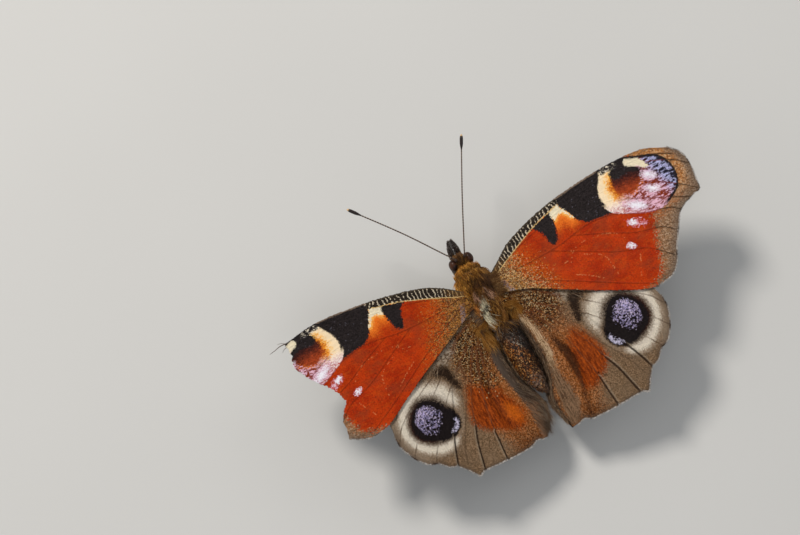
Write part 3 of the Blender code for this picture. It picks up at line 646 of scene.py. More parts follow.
def foreColours(p, dice):
    a, b, c = dice
    fray = a - 0.5
    plan = p.place("plan")
    x, y, _ = p.axes(plan)
    cloud = p.noise(plan, 0.35)
    vein, costa = p.field("vein"), p.field("costa")

    def inside(name, fuzz, grow=0.0):
        return p.ease(p.field(name) + fray * fuzz + grow, -0.02, 0.02)

    # rust red field, with rubbed and darker scales among the rest
    red = p.mix(p.ease(cloud, 0.35, 0.65), (0.33, 0.022, 0.002), (0.43, 0.036, 0.003))
    red = p.tint(red, b * 0.42 + 0.78)
    red = p.mix((c > 0.97) * 0.4, red, (0.50, 0.09, 0.012))
    red = p.mix((c < 0.06) * 0.6, red, (0.12, 0.016, 0.005))
    sheen = p.noise(p.stretch(plan, (0.6, 1.0, 1.0)), 0.30, 3.0)
    red = p.mix(p.ease(p.noise(p.stretch(plan, (0.7, 2.4, 1.0)), 0.9, 4.0, 0.6), 0.50, 0.66) * 0.30, red, (0.50, 0.075, 0.006))
    # darker grey-brown patches in the red: painted sheen
    red = p.mix(p.ease(sheen, 0.52, 0.66) * 0.35, red, (0.16, 0.035, 0.014))
    # golden and brown ticking near the root
    root = p.ease(x + y * 0.35 + fray * 3.0 + cloud * 2.0, 7.5, 2.2)
    ticked = steppedPick(p, b, [(0.34, (0.034, 0.013, 0.008)), (0.34, (0.27, 0.070, 0.008)), (0.20, (0.46, 0.20, 0.035)),
                                (0.12, (0.60, 0.42, 0.21))])
    nearBody = p.ease(x + fray * 2.0, 4.6, 1.6)
    ticked = p.mix(nearBody.work("MAXIMUM", nearBody, p.ease(y + x * 0.55 + fray, 0.6, -0.8)) * (b < 0.66) * 0.75, ticked,
                   (0.050, 0.023, 0.011))
    sunny = p.field("sunny")
    # more pale ticks on the right wing's root: painted light on its sunny side
    ticked = p.mix((a > 0.74) * (c < 0.7) * (sunny * 0.6 + 0.1), ticked, (0.62, 0.40, 0.18))
    ticked = p.mix((b > 0.8) * (1.0 - sunny) * 0.7, ticked, (0.32, 0.115, 0.015))
    red = p.mix(p.ease(x + y * 0.35 + cloud * 3.0, 9.0, 4.4) * (b > 0.45) * 0.55, red, (0.50, 0.125, 0.008))
    colour = p.mix((root > c * 0.9 + 0.06), red, ticked)
    hem = p.ease(abs(x + y * 0.3 - 0.19), 0.42, 0.26) * p.ease(y, -0.9, -1.5)
    colour = p.mix(hem * (c < 0.55), colour, (0.20, 0.15, 0.15))
    colour = p.mix(p.ease(vein, 0.12, 0.03) * 0.4, colour, (0.10, 0.016, 0.005))
    # orange and yellow under the pale patch of the front edge
    creamDepth = p.field("cream")
    wedge = p.ease(creamDepth + fray * 0.8 + cloud, -1.7, 0.1) * p.ease(x, 14.0, 12.6)
    colour = p.mix(wedge, colour, p.tint((0.71, 0.155, 0.014), b * 0.2 + 0.9))
    colour = p.mix(p.ease(creamDepth + fray * 0.4, -0.5, -0.02) * (x < 17.0), colour, (0.82, 0.40, 0.08))
    # black patches
    dark = p.tint(ink, b * 1.2 + 0.5)
    dark = p.mix((c > 0.985) * 0.5, dark, (0.13, 0.12, 0.15))
    besideEye = p.ease(p.field("eyeSpot"), -0.5, -0.4) * (x < 18.9) * (y > -1.1)
    black = inside("black", 0.28)
    colour = p.mix(black.work("MAXIMUM", black, besideEye), colour, dark)
    cream = p.tint((0.80, 0.70, 0.50), b * 0.2 + 0.82)
    colour = p.mix(inside("cream", 0.3), colour, cream)
    # striped front edge
    wobble = p.noise(plan, 1.5, 2.0)
    along = (x * 0.94 + y * 0.34) / 0.56 + costa * 0.75 + cloud * 2.2 + wobble * 0.9
    stripe = abs(along.work("FRACT", along) - 0.5) + (wobble - 0.5) * 0.35 + fray * 0.06 > 0.408
    paleStripe = p.mix(p.ease(x + fray * 2.0, 0.6, 3.0), (0.52, 0.31, 0.11), (0.70, 0.59, 0.43))
    darkStripe = p.mix(p.ease(x + fray * 2.0, 2.4, 0.4), (0.022, 0.016, 0.012), (0.11, 0.055, 0.02))
    zebra = p.mix(stripe, p.tint(darkStripe, b + 0.5), p.tint(paleStripe, b * 0.5 + 0.5))
    zebraDepth = p.field("zebra")
    piping = (abs(zebraDepth - 0.04) < 0.09) * (costa > 0.35) * (x < 11.6)
    zebra = p.mix(piping, zebra, p.tint((0.56, 0.37, 0.15), b * 0.5 + 0.7))
    colour = p.mix(inside("zebra", 0.08), colour, zebra)
    edge = p.ease(costa + fray * 0.06, 0.19, 0.13)
    colour = p.mix(edge * 0.85, colour, p.mix(x > 12.0, (0.06, 0.045, 0.03), (0.20, 0.14, 0.10)))

    # brown outer band, warmer outside the eyespot, in streaks that run to the margin
    bandDepth, eyeDepth = p.field("band"), p.field("eyeSpot")
    streaks = p.noise(p.stretch(plan, (0.3, 1.9, 1.0)), 1.5, 3.0, 0.6)
    far = p.ease(y, -4.5, -1.5)
    brown = steppedPick(p, b, [(0.3, (0.13, 0.065, 0.032)), (0.4, (0.26, 0.14, 0.070)), (0.3, (0.38, 0.25, 0.155))])
    tan = steppedPick(p, b, [(0.35, (0.22, 0.078, 0.022)), (0.4, (0.46, 0.19, 0.052)), (0.25, (0.54, 0.34, 0.18))])
    brown = p.mix(p.ease(p.field("margin") + streaks * 1.2 + fray * 0.4, 1.9, 0.7) * 0.8, brown,
                  p.mix(b, (0.075, 0.050, 0.035), (0.20, 0.145, 0.105)))
    brown = p.mix(far * p.ease(eyeDepth + streaks * 1.2 + fray * 0.4, -0.9, 0.1), brown, tan)
    brown = p.mix(p.ease(bandDepth + streaks * 0.8 + fray * 0.8, 1.6, 0.5) * p.ease(y, -3.0, -5.0) * (c > 0.45), brown,
                  (0.36, 0.11, 0.03))
    brown = p.mix(p.ease(streaks, 0.52, 0.62) * 0.6, brown, (0.10, 0.055, 0.03))
    brown = p.mix(p.ease(vein + fray * 0.05, 0.11, 0.05) * 0.85, brown, (0.050, 0.028, 0.015))
    nearEye = p.ease(eyeDepth, -1.4, -0.6)
    colour = p.mix(p.ease(bandDepth + fray * 1.0 + streaks * 1.0 - 0.6 + nearEye * 0.7, -0.02, 0.02), colour, brown)

    # the eyespot: specks of lilac and blue over dark red and black
    outerSide = p.ease(x + y * 0.25 + cloud, 24.6, 26.6)
    ground = p.mix(outerSide, (0.20, 0.028, 0.010), (0.016, 0.014, 0.026))
    lilac = p.mix(outerSide, (0.70, 0.42, 0.52), (0.42, 0.42, 0.66))
    patchy = p.noise(p.stretch(plan, (0.8, 1.2, 1.0)), 2.1, 4.0, 0.6)
    rear = p.ease(x * 0.55 + y, 10.9, 9.3)
    lanes = p.noise(p.stretch(plan, (0.5, 2.2, 1.0)), 1.5, 2.0)
    share = p.ease(patchy + (lanes - 0.5) * 1.1, 0.38, 0.62) * 0.84 + 0.04 + rear * 0.16 - outerSide * 0.05
    interior = p.mix(share > c, ground, p.tint(lilac, b * 0.4 + 0.75))
    interior = p.mix(p.ease(vein, 0.1, 0.04) * 0.7, interior, (0.16, 0.02, 0.012))
    # pale crescent, yellow and orange on its inner side
    blobDepth = p.field("blob")
    glow = p.node("ShaderNodeValToRGB", {"stops": [(0.0, (0.82, 0.65, 0.43)), (0.30, (0.84, 0.60, 0.30)),
                                                   (0.52, (0.86, 0.42, 0.05)), (0.82, (0.66, 0.17, 0.012)),
                                                   (1.0, (0.30, 0.05, 0.01))]},
                  {0: p.ease(blobDepth + fray * 0.8 + (patchy - 0.5) * 1.2, -1.0, 0.6)})
    low = p.ease(y + fray * 0.6, 0.2, -1.6)
    glow = p.mix(low, glow, p.mix(b > 0.35, (0.64, 0.38, 0.42), (0.80, 0.72, 0.68)))
    glow = p.mix(p.ease(y + fray, -0.6, -2.0) * (c > 0.58) * (lanes < 0.58), glow, (0.42, 0.075, 0.055))
    interior = p.mix(p.ease(p.field("crescent") + fray * 0.6 + (patchy - 0.5) * 0.9 + 0.3, -0.03, 0.03), interior,
                     p.tint(glow, b * 0.2 + 0.92))
    # dark red blot with its black cap
    blot = p.mix(p.ease(y + x * 0.2 + cloud * 0.8 + fray * 0.9, 6.9, 4.6), (0.03, 0.010, 0.009), (0.29, 0.042, 0.010))
    blot = p.mix(p.ease(blobDepth + fray * 0.3, 0.4, 0.0) * p.ease(y, 1.2, -0.4), blot, (0.58, 0.15, 0.02))
    beside = p.ease(blobDepth + fray * 0.5, -0.75, -0.45) * p.ease(x + fray * 0.6, 20.7, 20.1) * p.ease(y, -0.7, 0.1)
    interior = p.mix(beside, interior, glow)
    worn = p.ease(x + y * 0.3, 21.2, 19.6) * 0.62  # the yellow and orange reach into its inner side
    interior = p.mix(p.ease(blobDepth + fray * 0.8 + (patchy - 0.5) * 0.9 - worn, -0.05, 0.05), interior,
                     p.tint(blot, b * 0.7 + p.ease(patchy, 0.3, 0.7) * 0.5 + 0.4))
    interior = p.mix(p.ease(blobDepth + fray * 0.7, 0.75, 0.35) * worn * (c > 0.4), interior, glow)
    interior = p.mix(inside("blobBlack", 0.35), interior, dark)
    # streaked black above them, then the pale wedge at the front edge
    top = p.ease(costa + fray * 0.15, 1.0, 0.75) * p.ease(x, 24.9, 24.3)
    streak = p.noise(p.stretch(plan, (2.2, 9.0, 1.0)), 1.0, 1.0)
    streaked = p.mix(p.ease(streak, 0.56, 0.6) * p.ease(x, 21.6, 20.6), dark, (0.75, 0.66, 0.52))
    interior = p.mix(top * (x > 18.9), interior, streaked)
    interior = p.mix(inside("cream", 0.25), interior, cream)
    rim = p.ease(eyeDepth + fray * 0.22, 0.42, 0.26) * p.ease(x * 0.6 + y * 1.1, 9.6, 10.6)
    interior = p.mix(rim, interior, p.tint(ink, b + 0.6))
    interior = p.mix((p.ease(p.field("whites"), -0.45, 0.1) > c) * 0.7, interior, (0.66, 0.50, 0.62))
    interior = p.mix(inside("whites", 0.7, -0.04), interior, p.tint(white, b * 0.2 + 0.85))
    colour = p.mix(inside("eyeSpot", 0.14), colour, interior)

    # pink dust and white dots in the red below it
    dust = (p.ease(p.field("haze") + (patchy - 0.5) * 0.8, -0.15, 0.8) > c * 1.25) * (eyeDepth < 0.0)
    colour = p.mix(dust, colour, p.mix(b > 0.6, (0.60, 0.22, 0.27), (0.72, 0.50, 0.60)))
    colour = p.mix((p.ease(p.field("whites"), -0.3, 0.1) > c * 1.1) * (eyeDepth < 0.0) * 0.8, colour, (0.66, 0.42, 0.50))
    colour = p.mix(inside("whites", 0.5, -0.05), colour, p.tint(white, b * 0.12 + 0.9))
    colour = p.mix((p.field("scratch") < 0.05) * (patchy > 0.5) * 0.6, colour, (0.60, 0.20, 0.07))

    return colour


def hindColours(p, dice):
    a, b, c = dice
    fray = a - 0.5
    plan = p.place("plan")
    x, y, _ = p.axes(plan)
    cloud = p.noise(plan, 0.45)
    lines = p.noise(p.stretch(plan, (3.0, 0.5, 1.0)), 1.6, 2.0)
    vein, fold = p.field("vein"), p.field("fold")

    def inside(name, fuzz, grow=0.0):
        return p.ease(p.field(name) + fray * fuzz + grow, -0.02, 0.02)

    # grey-brown ground, with finer dark and pale scales
    taupe = steppedPick(p, b, [(0.25, (0.085, 0.050, 0.026)), (0.45, (0.150, 0.090, 0.047)),
                               (0.3, (0.240, 0.148, 0.084))])
    taupe = p.mix(p.ease(cloud, 0.4, 0.7) * 0.5, taupe, (0.15, 0.098, 0.058))
    taupe = p.mix(p.ease(x - y * 0.1 + fray, 15.2, 17.4) * 0.45, taupe, (0.30, 0.24, 0.18))
    # orange-brown between the ticked root, the body and the margin
    warm = steppedPick(p, b, [(0.38, (0.085, 0.029, 0.008)), (0.38, (0.225, 0.073, 0.019)), (0.24, (0.35, 0.150, 0.058))])
    warm = p.tint(warm, p.ease(p.field("margin"), 0.3, 2.8) * 0.4 - p.ease(y, -8.5, -4.5) * 0.45 + 0.68)
    inner = p.ease(x + fray * 1.4 + cloud * 1.5 + p.ease(y, -13.0, -19.0) * 1.2, 7.7, 4.8)
    colour = p.mix(inner, taupe, warm)
    rustDepth = p.field("rust")
    glowing = p.mix(b, (0.19, 0.048, 0.008), (0.34, 0.110, 0.024))
    colour = p.mix(p.ease(rustDepth + fray * 1.2 + cloud * 1.2 - 0.6, -1.0, -0.1) * p.ease(x * 0.6 - y, 19.0, 16.0) * 0.7,
                   colour, glowing)
    rust = p.tint(p.mix(p.ease(lines, 0.35, 0.65), (0.13, 0.020, 0.002), (0.32, 0.056, 0.005)), b * 0.5 + 0.70)
    colour = p.mix(p.ease(rustDepth + fray * 1.0 + cloud * 1.2 - 0.6, -0.5, 0.5), colour, rust)
    colour = p.mix(p.ease(p.field("fireSpot") + fray * 0.5, -0.3, 0.7) * 0.75, colour, p.tint((0.60, 0.125, 0.008), b * 0.5 + 0.6))
    # salt and pepper near the root
    salt = steppedPick(p, b, [(0.54, (0.012, 0.006, 0.003)), (0.20, (0.095, 0.028, 0.006)), (0.14, (0.32, 0.115, 0.020)),
                              (0.12, (0.58, 0.41, 0.21))])
    salt = p.mix(p.ease(y + x * 0.12 + fray * 0.9 + cloud * 0.8, 0.3, 1.4) * (b > 0.3) * 0.75, salt,
                 p.mix(a, (0.25, 0.15, 0.07), (0.56, 0.44, 0.29)))
    tick = p.ease(p.field("ticking") + fray * 1.6 + cloud, -0.4, 2.8)
    salt = p.mix(p.ease(vein + fray * 0.2, 0.22, 0.10) * 0.7, salt, p.tint((0.17, 0.040, 0.008), b + 0.4))
    colour = p.mix(tick > c * 0.85 + 0.06, colour, p.tint(salt, 0.84))
    # ring round the eyespot: smoky, pale cream, then back to brown; it dies away towards the body's rear
    eyeDepth, haloDepth = p.field("eyeSpot"), p.field("halo")
    share = haloDepth / (haloDepth - eyeDepth).work("MAXIMUM", haloDepth - eyeDepth, 0.05)
    ring = p.node("ShaderNodeValToRGB", {"stops": [(0.0, (0.165, 0.115, 0.075)), (0.18, (0.31, 0.24, 0.175)),
                                                   (0.38, (0.60, 0.53, 0.43)), (0.60, (0.58, 0.51, 0.42)),
                                                   (0.80, (0.20, 0.155, 0.115)), (0.95, (0.030, 0.018, 0.012))]},
                  {0: share + fray * 0.16 + (lines - 0.5) * 0.25})
    faded = p.mix(p.ease(share, 0.7, 1.0), taupe, (0.035, 0.022, 0.014))
    rearSide = p.ease(x * 0.94 - y * 0.35 + fray * 0.5, 15.6, 14.2) * p.ease(y + fray, -9.2, -11.2)
    mist = p.mix(p.ease(p.noise(p.stretch(plan, (2.2, 2.2, 1.0)), 1.3, 3.0), 0.40, 0.56), (0.085, 0.055, 0.035), (0.38, 0.31, 0.235))
    colour = p.mix(p.ease(p.field("mist") + fray * 0.9 + (lines - 0.5), -0.3, 0.6) * 0.85, colour, mist)
    ring = p.mix(rearSide * 0.9, p.tint(ring, b * 0.3 + 0.86), faded)
    ring = p.mix(p.ease(vein, 0.09, 0.04) * p.ease(share, 0.5, 0.25) * 0.6, ring, (0.10, 0.065, 0.04))
    colour = p.mix(p.ease(haloDepth + fray * 0.9, -0.45, 0.35), colour, ring)
    colour = p.mix(p.ease(p.field("smudge") + fray * 0.5, -0.3, 0.25) * 0.95, colour,
                   p.tint((0.013, 0.006, 0.003), b + 0.5))
    colour = p.mix(p.ease(vein + fray * 0.04, 0.10, 0.04) * 0.45, colour, (0.07, 0.040, 0.022))
    # the eyespot itself
    black = p.tint((0.006, 0.004, 0.004), b * 1.6 + 0.6)
    black = p.mix(p.ease(eyeDepth + fray * 0.4, 0.15, -0.1) * p.ease(x, 12.4, 14.2) * 0.7, black, (0.060, 0.018, 0.009))
    outward = p.ease(x * 0.6 + y * 0.8 + fray * 0.4, -2.1, 1.2)
    dense = outward * 0.55 + p.ease(p.noise(plan, 3.2, 4.0, 0.6), 0.40, 0.60) * 0.60 - 0.08
    violet = p.tint(p.mix(b > 0.5, (0.33, 0.29, 0.52), (0.52, 0.43, 0.58)), a * 0.5 + 0.7)
    black = p.mix(inside("violet", 0.6, -0.13) * (dense > c), black, violet)
    black = p.mix(inside("glint", 0.35, -0.08) * (c < 0.72), black, p.tint((0.52, 0.48, 0.62), b * 0.4 + 0.75))
    colour = p.mix(p.ease(eyeDepth + fray * 0.45 + 0.14, -0.04, 0.04), colour, black)
    # pleats: a pale brow of painted highlight beside a dark line of painted shade
    crease, margin = p.field("crease"), p.field("margin")
    outerHalf = p.ease(y, -13.2, -15.0)
    colour = p.mix(p.ease(abs(crease - 0.19), 0.12, 0.04) * 0.32 * outerHalf, colour, (0.42, 0.33, 0.23))
    colour = p.mix(p.ease(abs(crease + 0.02), 0.17, 0.07) * 0.88 * outerHalf, colour, (0.024, 0.013, 0.008))
    # the valley fold: a broad dark band of painted shade along its line
    valleyShadeWidth = p.ease(abs(y + 11.6), 4.0, 1.0) * 0.46 + 0.13
    colour = p.mix(p.ease(p.field("valley") + fray * 0.3 + (lines - 0.5) * 0.3 - valleyShadeWidth, 0.28, -0.22) *
                   p.field("valleyDeep"), colour, p.tint((0.036, 0.013, 0.005), b * 1.4 + 0.4))
    colour = p.mix(p.ease(margin + fray * 0.2, 0.5, 0.2) * 0.55, colour, (0.085, 0.055, 0.036))
    # the fold beside the abdomen: tan crest on the right, grey-brown lip on the left
    threads = p.ease(p.noise(p.stretch(plan, (6.5, 0.35, 1.0)), 1.4, 3.0, 0.6), 0.36, 0.62)
    crest = p.mix(threads, (0.20, 0.115, 0.055), (0.50, 0.35, 0.21))
    crest = p.mix(b > 0.85, crest, (0.14, 0.07, 0.03))
    low = p.ease(y + fray, -9.8, -12.6)
    crest = p.mix(low * 0.9, crest, p.mix(threads, (0.050, 0.026, 0.014), (0.18, 0.098, 0.052)))
    strip = p.field("strip") + fray * 0.3 + (threads - 0.5) * 0.35 - low * 0.1
    colour = p.mix(p.ease(strip, -0.15, 0.35), colour, crest)
    lip = p.mix(lines, (0.034, 0.024, 0.018), (0.095, 0.066, 0.048))
    lip = p.mix(p.ease(y + fray, -12.5, -15.0) * 0.8, lip, p.mix(lines, (0.13, 0.065, 0.033), (0.25, 0.13, 0.07)))
    colour = p.mix(p.ease(p.field("greyLip") + fray * 0.3, 0.25, -0.15), colour, lip)
    # the fold's inner face, curling down beside the abdomen: near black, painted shade
    deep = p.mix(lines, (0.014, 0.008, 0.005), (0.060, 0.036, 0.022))
    return p.mix(p.ease(fold + fray * 0.2, 0.45, 0.8) * p.ease(p.field("greyLip"), 4.0, 5.0), colour, deep)


def underColours(p, dice):  # the hidden side: nearly black, with fine wavy bands
    a, b, c = dice
    plan = p.place("plan")
    wave = p.node("ShaderNodeTexWave", {"bands_direction": "X"},
                  {"Vector": plan, "Scale": 0.42, "Distortion": 7.0, "Detail": 3.0, "Detail Scale": 1.2})
    colour = p.mix(p.ease(wave, 0.35, 0.7), (0.012, 0.009, 0.008), (0.055, 0.036, 0.024))
    colour = p.mix((c > 0.9) * 0.6, colour, (0.13, 0.09, 0.06))
    return p.tint(colour, b * 0.9 + 0.55)


colourOf = {"fore": foreColours, "hind": hindColours, "under": underColours}


def wingFinish(name, kind, coat):
    p = Paint(name, Roughness=0.62, Specular_IOR_Level=0.05)
    if coat:
        colour = colourOf[kind](p, p.chances())
        return p.finish(colour, p.field("grain") * 0.2 + 0.5)
    plan = p.stretch(p.place("plan"), (1.0, 1.5, 1.0))
    dice = p.chances(plan, 4.6)
    rows = p.node("ShaderNodeTexVoronoi", {"voronoi_dimensions": "2D"}, {"Vector": plan, "Scale": 4.6,
                                                                        "Randomness": 0.85})
    return p.finish(colourOf[kind](p, dice), dice[0] * 0.2 + 0.5, rows, depth=0.03, strength=0.4)


# building the wings


def planSpots(kind, plan, under=False):  # where a wing's points lie on its bake map
    low, high = ((-3.5, -14.0), (30.5, 6.0)) if kind == "fore" else ((-3.5, -21.8), (18.6, 2.6))
    t = (plan - np.array(low)) / (np.array(high) - np.array(low))
    share = (0.006, 0.59) if not under else (0.61, 0.384)
    return np.stack([0.006 + t[:, 0] * 0.988, share[0] + t[:, 1] * share[1]], 1)


def wingGrid(kind, side):  # plan, place and fold share of a wing's upper side, with its hinge
    front, rear, inner, outer = wingBorders(kind, side)
    plan = coonsPatch(front, rear, inner, outer)
    rows, columns = plan.shape[:2]
    place = onWing(kind, side, plan.reshape(-1, 2)).reshape(rows, columns, 3)
    fold = np.zeros((rows, columns))
    if kind == "hind":
        share, *table = np.array(hindFold[side]).T
        wide, deep, lipIn, lipDown = (np.interp(np.linspace(0, 1, rows), share, t)[:, None] for t in table)
        hemShare, *hem = np.array(hindFold["hem"]).T
        hemIn, hemDown = (np.interp(np.linspace(0, 1, rows), hemShare, t)[:, None] for t in hem)
        curl, lip = hindFold["rows"]
        under = hindFold["hemRows"]
        part = np.r_[np.arange(1, curl + 1) / curl, 1 + np.arange(1, lip + 1) / lip,
                     2 + np.arange(1, under + 1) / under][None]
        bend, beyond, hemmed = (np.clip(part - k, 0, 1) for k in range(3))
        bend = bend * pi / 2
        inward = wide * np.sin(bend) + lipIn * beyond**2 + hemIn * np.sin(hemmed * pi / 2)
        down = deep * (1 - np.cos(bend)) + lipDown * beyond + hemDown * (1 - np.cos(hemmed * pi / 2))
        shift = np.stack([-sideSign[side] * inward, 0 * inward, -down], -1)
        place = np.concatenate([place, place[:, -1:] + shift], 1)
        plan = np.concatenate([plan, plan[:, -1:] - np.stack([inward + down * 0.3, 0 * inward], -1)], 1)
        fold = np.concatenate([fold, np.broadcast_to(part, inward.shape)], 1)
    # the hinge runs from the wing's root into the thorax
    steps = 8
    t = np.arange(steps, 0, -1) / steps
    sunk = np.stack([np.full(place.shape[1], sideSign[side] * 1.2), place[0, :, 1] * 0.85,
                     np.full(place.shape[1], 7.1 if kind == "fore" else 6.7)], 1)
    ease = (t * t * (3 - 2 * t))[:, None, None]
    hinge = place[0] + (sunk - place[0]) * np.stack([t, t, t**1.6], -1)[:, None, :]
    hinge[..., 2] += 0.25 * np.sin(pi * ease[..., 0])
    hingePlan = plan[0] + np.stack([-t * 1.6, t * 0], 1)[:, None, :]
    return (np.concatenate([hingePlan, plan]), np.concatenate([hinge, place]),
            np.concatenate([np.zeros((steps, fold.shape[1])), fold]))


def buildWing(kind, side, grid, finishes):
    plan, place, fold = grid
    rows, columns = fold.shape
    normal = unit(np.cross(np.gradient(place, axis=0), np.gradient(place, axis=1)))
    normal *= np.sign(normal[rows // 2, columns // 3, 2])
    thick = wingShape["thickness"]
    points = np.concatenate([place.reshape(-1, 3), (place - normal * thick).reshape(-1, 3)])
    size = rows * columns
    top, under = gridFaces(rows, columns), gridFaces(rows, columns, size)
    if side == "left":
        under = under[:, ::-1]
    else:
        top = top[:, ::-1]
    loop = np.r_[np.arange(columns), np.arange(1, rows) * columns + columns - 1,
                 (rows - 1) * columns + np.arange(columns - 2, -1, -1), np.arange(rows - 2, 0, -1) * columns]
    nextLoop = np.roll(loop, -1)
    rim = np.stack([loop, nextLoop, nextLoop + size, loop + size], 1)
    if side == "left":
        rim = rim[:, ::-1]
    flat = plan.reshape(-1, 2)
    fields = markings[kind](side, flat)
    fields["fold"] = fold.ravel()
    fields = {key: np.concatenate([values, values]) for key, values in fields.items()}
    spots = np.concatenate([planSpots(kind, flat), planSpots(kind, flat, True)])
    corners = [spots[f].reshape(-1, 2) for f in (top, under)]
    topSpot = spots[:size]
    middle = topSpot.mean(0)
    outward = unit(topSpot - middle) * 0.003
    rimSpots = np.where((rim >= size)[..., None], (topSpot + outward)[rim % size], topSpot[rim % size])
    slots = np.repeat([0, 1, 0], [len(top), len(under), len(rim)])
    name = kind + "wing_" + side
    piece = addPiece(kind + "wingSkin." + side, points, [np.concatenate([top, under, rim])], finishes, [name],
                     "wing_red" if kind == "fore" else "wing_brown", slots, fields,
                     np.concatenate([*corners, rimSpots.reshape(-1, 2)]))
    piece.data.update()
    return piece


scaleCover = {
    "upper": {"pitch": (0.145, 0.13), "length": 0.30, "width": 0.165},
    "fine": {"pitch": (0.10, 0.09), "length": 0.22, "width": 0.115},
    "under": {"pitch": (0.27, 0.24), "length": 0.52, "width": 0.30},
    "focus": {"fore": (-9.0, -0.5), "hind": (-4.0, 5.0)},
}


def rowsOfRoots(ring, focus, pitch, seed):  # even rows round a point behind the root, as on roof tiles
    rng = np.random.default_rng(seed)
    rel = ring - focus
    reach = np.hypot(*rel.T)
    angle = np.arctan2(rel[:, 1], rel[:, 0])
    found = []
    for k, radius in enumerate(np.arange(reach.min(), reach.max(), pitch[0])):
        step = pitch[1] / radius
        turns = np.arange(angle.min() + (k % 2) * step / 2, angle.max(), step)
        turns = turns + rng.normal(0, 0.13 * step, len(turns))
        r = radius + rng.normal(0, 0.1 * pitch[0], len(turns))
        found.append(np.stack([focus[0] + r * np.cos(turns), focus[1] + r * np.sin(turns)], 1))
    found = np.vstack(found)
    return found[depthInside(found, ring) > 0.0]


def wingFrame(kind, side, plan, way):  # place, way and up of scales that point along way
    step = 0.04
    here = onWing(kind, side, plan)
    ahead = unit(onWing(kind, side, plan + way * step) - here)
    beside = unit(onWing(kind, side, plan + np.stack([-way[:, 1], way[:, 0]], 1) * step) - here)
    up = unit(np.cross(ahead, beside))
    return here, ahead, up * np.sign(up[:, 2:3])


def fineArea(kind, plan):  # eyespots and ticked roots
    x, y = plan.T
    root = x + y * 0.35 < 7.0 if kind == "fore" else depthInside(plan, hindMarks["ticking"]) > -0.3
    return (depthInside(plan, (foreMarks if kind == "fore" else hindMarks)["eye"]) > -0.15) | root


def coverWing(kind, side, layer, finish, seed):
    set_ = scaleCover[layer]
    front, rear, inner, outer = wingBorders(kind, side)
    ring = np.vstack([front[:-1], outer[:-1], rear[::-1]])
    focus = np.array(scaleCover["focus"][kind])
    plan = rowsOfRoots(ring, focus, set_["pitch"], seed)
    rng = np.random.default_rng(seed + 1)
    way = unit(plan - focus)
    turn = rng.normal(0, 0.1, len(plan))
    way = np.stack([way[:, 0] * np.cos(turn) - way[:, 1] * np.sin(turn),
                    way[:, 0] * np.sin(turn) + way[:, 1] * np.cos(turn)], 1)
    under = layer == "under"
    kept = depthInside(plan + way * set_["length"] * 0.62, ring) > (0.02 if under else -0.04)
    if not under:
        kept &= fineArea(kind, plan) == (layer == "fine")
    plan, way = plan[kept], way[kept]
    here, ahead, up = wingFrame(kind, side, plan, way)
    if under:
        here, up = here - up * wingShape["thickness"], -up
    length = set_["length"] * rng.uniform(0.88, 1.12, len(plan))
    width = set_["width"] * rng.uniform(0.9, 1.1, len(plan))
    made = makeShingles(here, ahead, up, length, width, rng.uniform(0.09, 0.17, len(plan)), 0.015,
                        rng.normal(0, 0.09, len(plan)))
    centre = plan + way * set_["length"] * 0.3
    fields = markings[kind](side, centre) if not under else {"plan": np.c_[centre, np.zeros(len(plan))]}
    fields["fold"] = np.zeros(len(plan))
    spots = planSpots(kind, plan)
    spots[:, 1] = (spots[:, 1] - 0.006) / 0.59 * 0.988 + 0.006
    return addCoat(f"{kind}wing{layer.capitalize()}Scales.{side}", made, finish, spots, fields, seed + 2,
                   slot="wing_red" if kind == "fore" else "wing_brown")


# the fringe of long scales on the outer margins, where they are not torn

fringes = {
    ("fore", "right"): (foreApex, foreMargin), ("fore", "left"): (tornCorner,),
    ("hind", "right"): (hindRound, hindTooth, hindTail), ("hind", "left"): (hindRound, hindTooth, hindTail),
    "pitch": 0.055, "length": 0.50, "width": 0.11,
}


def fringeFinish():
    p = Paint("fringeScales", Roughness=0.6, Specular_IOR_Level=0.08)
    a, b, c = p.chances()
    pale = p.mix(b, (0.13, 0.105, 0.085), (0.50, 0.46, 0.42))
    dark = p.mix(b, (0.03, 0.020, 0.014), (0.10, 0.065, 0.045))
    return p.finish(p.mix(p.ease(p.field("vein") + (a - 0.5) * 0.5, 0.35, 0.75), dark, pale), c * 0.2 + 0.5)


def makeFringe(kind, side, finish, seed):
    rng = np.random.default_rng(seed)
    for number, stretch in enumerate(fringes[kind, side]):
        rough = smoothLine(stretch, 40)
        reach = np.linalg.norm(np.diff(rough, axis=0), axis=1).sum()
        line = smoothLine(stretch, int(reach / fringes["pitch"]) * 2)
        run = unit(np.gradient(line, axis=0))
        outward = np.stack([-run[:, 1], run[:, 0]], 1)
        plan = line - outward * rng.uniform(0.04, 0.16, (len(line), 1))
        yaw = rng.normal(0, 0.14, len(line))
        way = outward * np.cos(yaw)[:, None] + run * np.sin(yaw)[:, None]
        here, ahead, up = wingFrame(kind, side, plan, way)
        here = here - up * rng.uniform(0.0, wingShape["thickness"], (len(line), 1))
        length = fringes["length"] * rng.uniform(0.55, 1.1, len(line))
        made = makeShingles(here, ahead, up, length, fringes["width"] * rng.uniform(0.7, 1.1, len(line)), 0.05, 0.01,
                            rng.normal(0, 0.1, len(line)))
        fields = {"vein": veinGap(kind, line)}
        addCoat(f"{kind}wingFringe{number}.{side}", made, finish, planSpots(kind, plan), fields, seed + 5 + number,
                slot="wing_red" if kind == "fore" else "wing_brown")


# fine hairs at the wings' roots and on the folds beside the abdomen

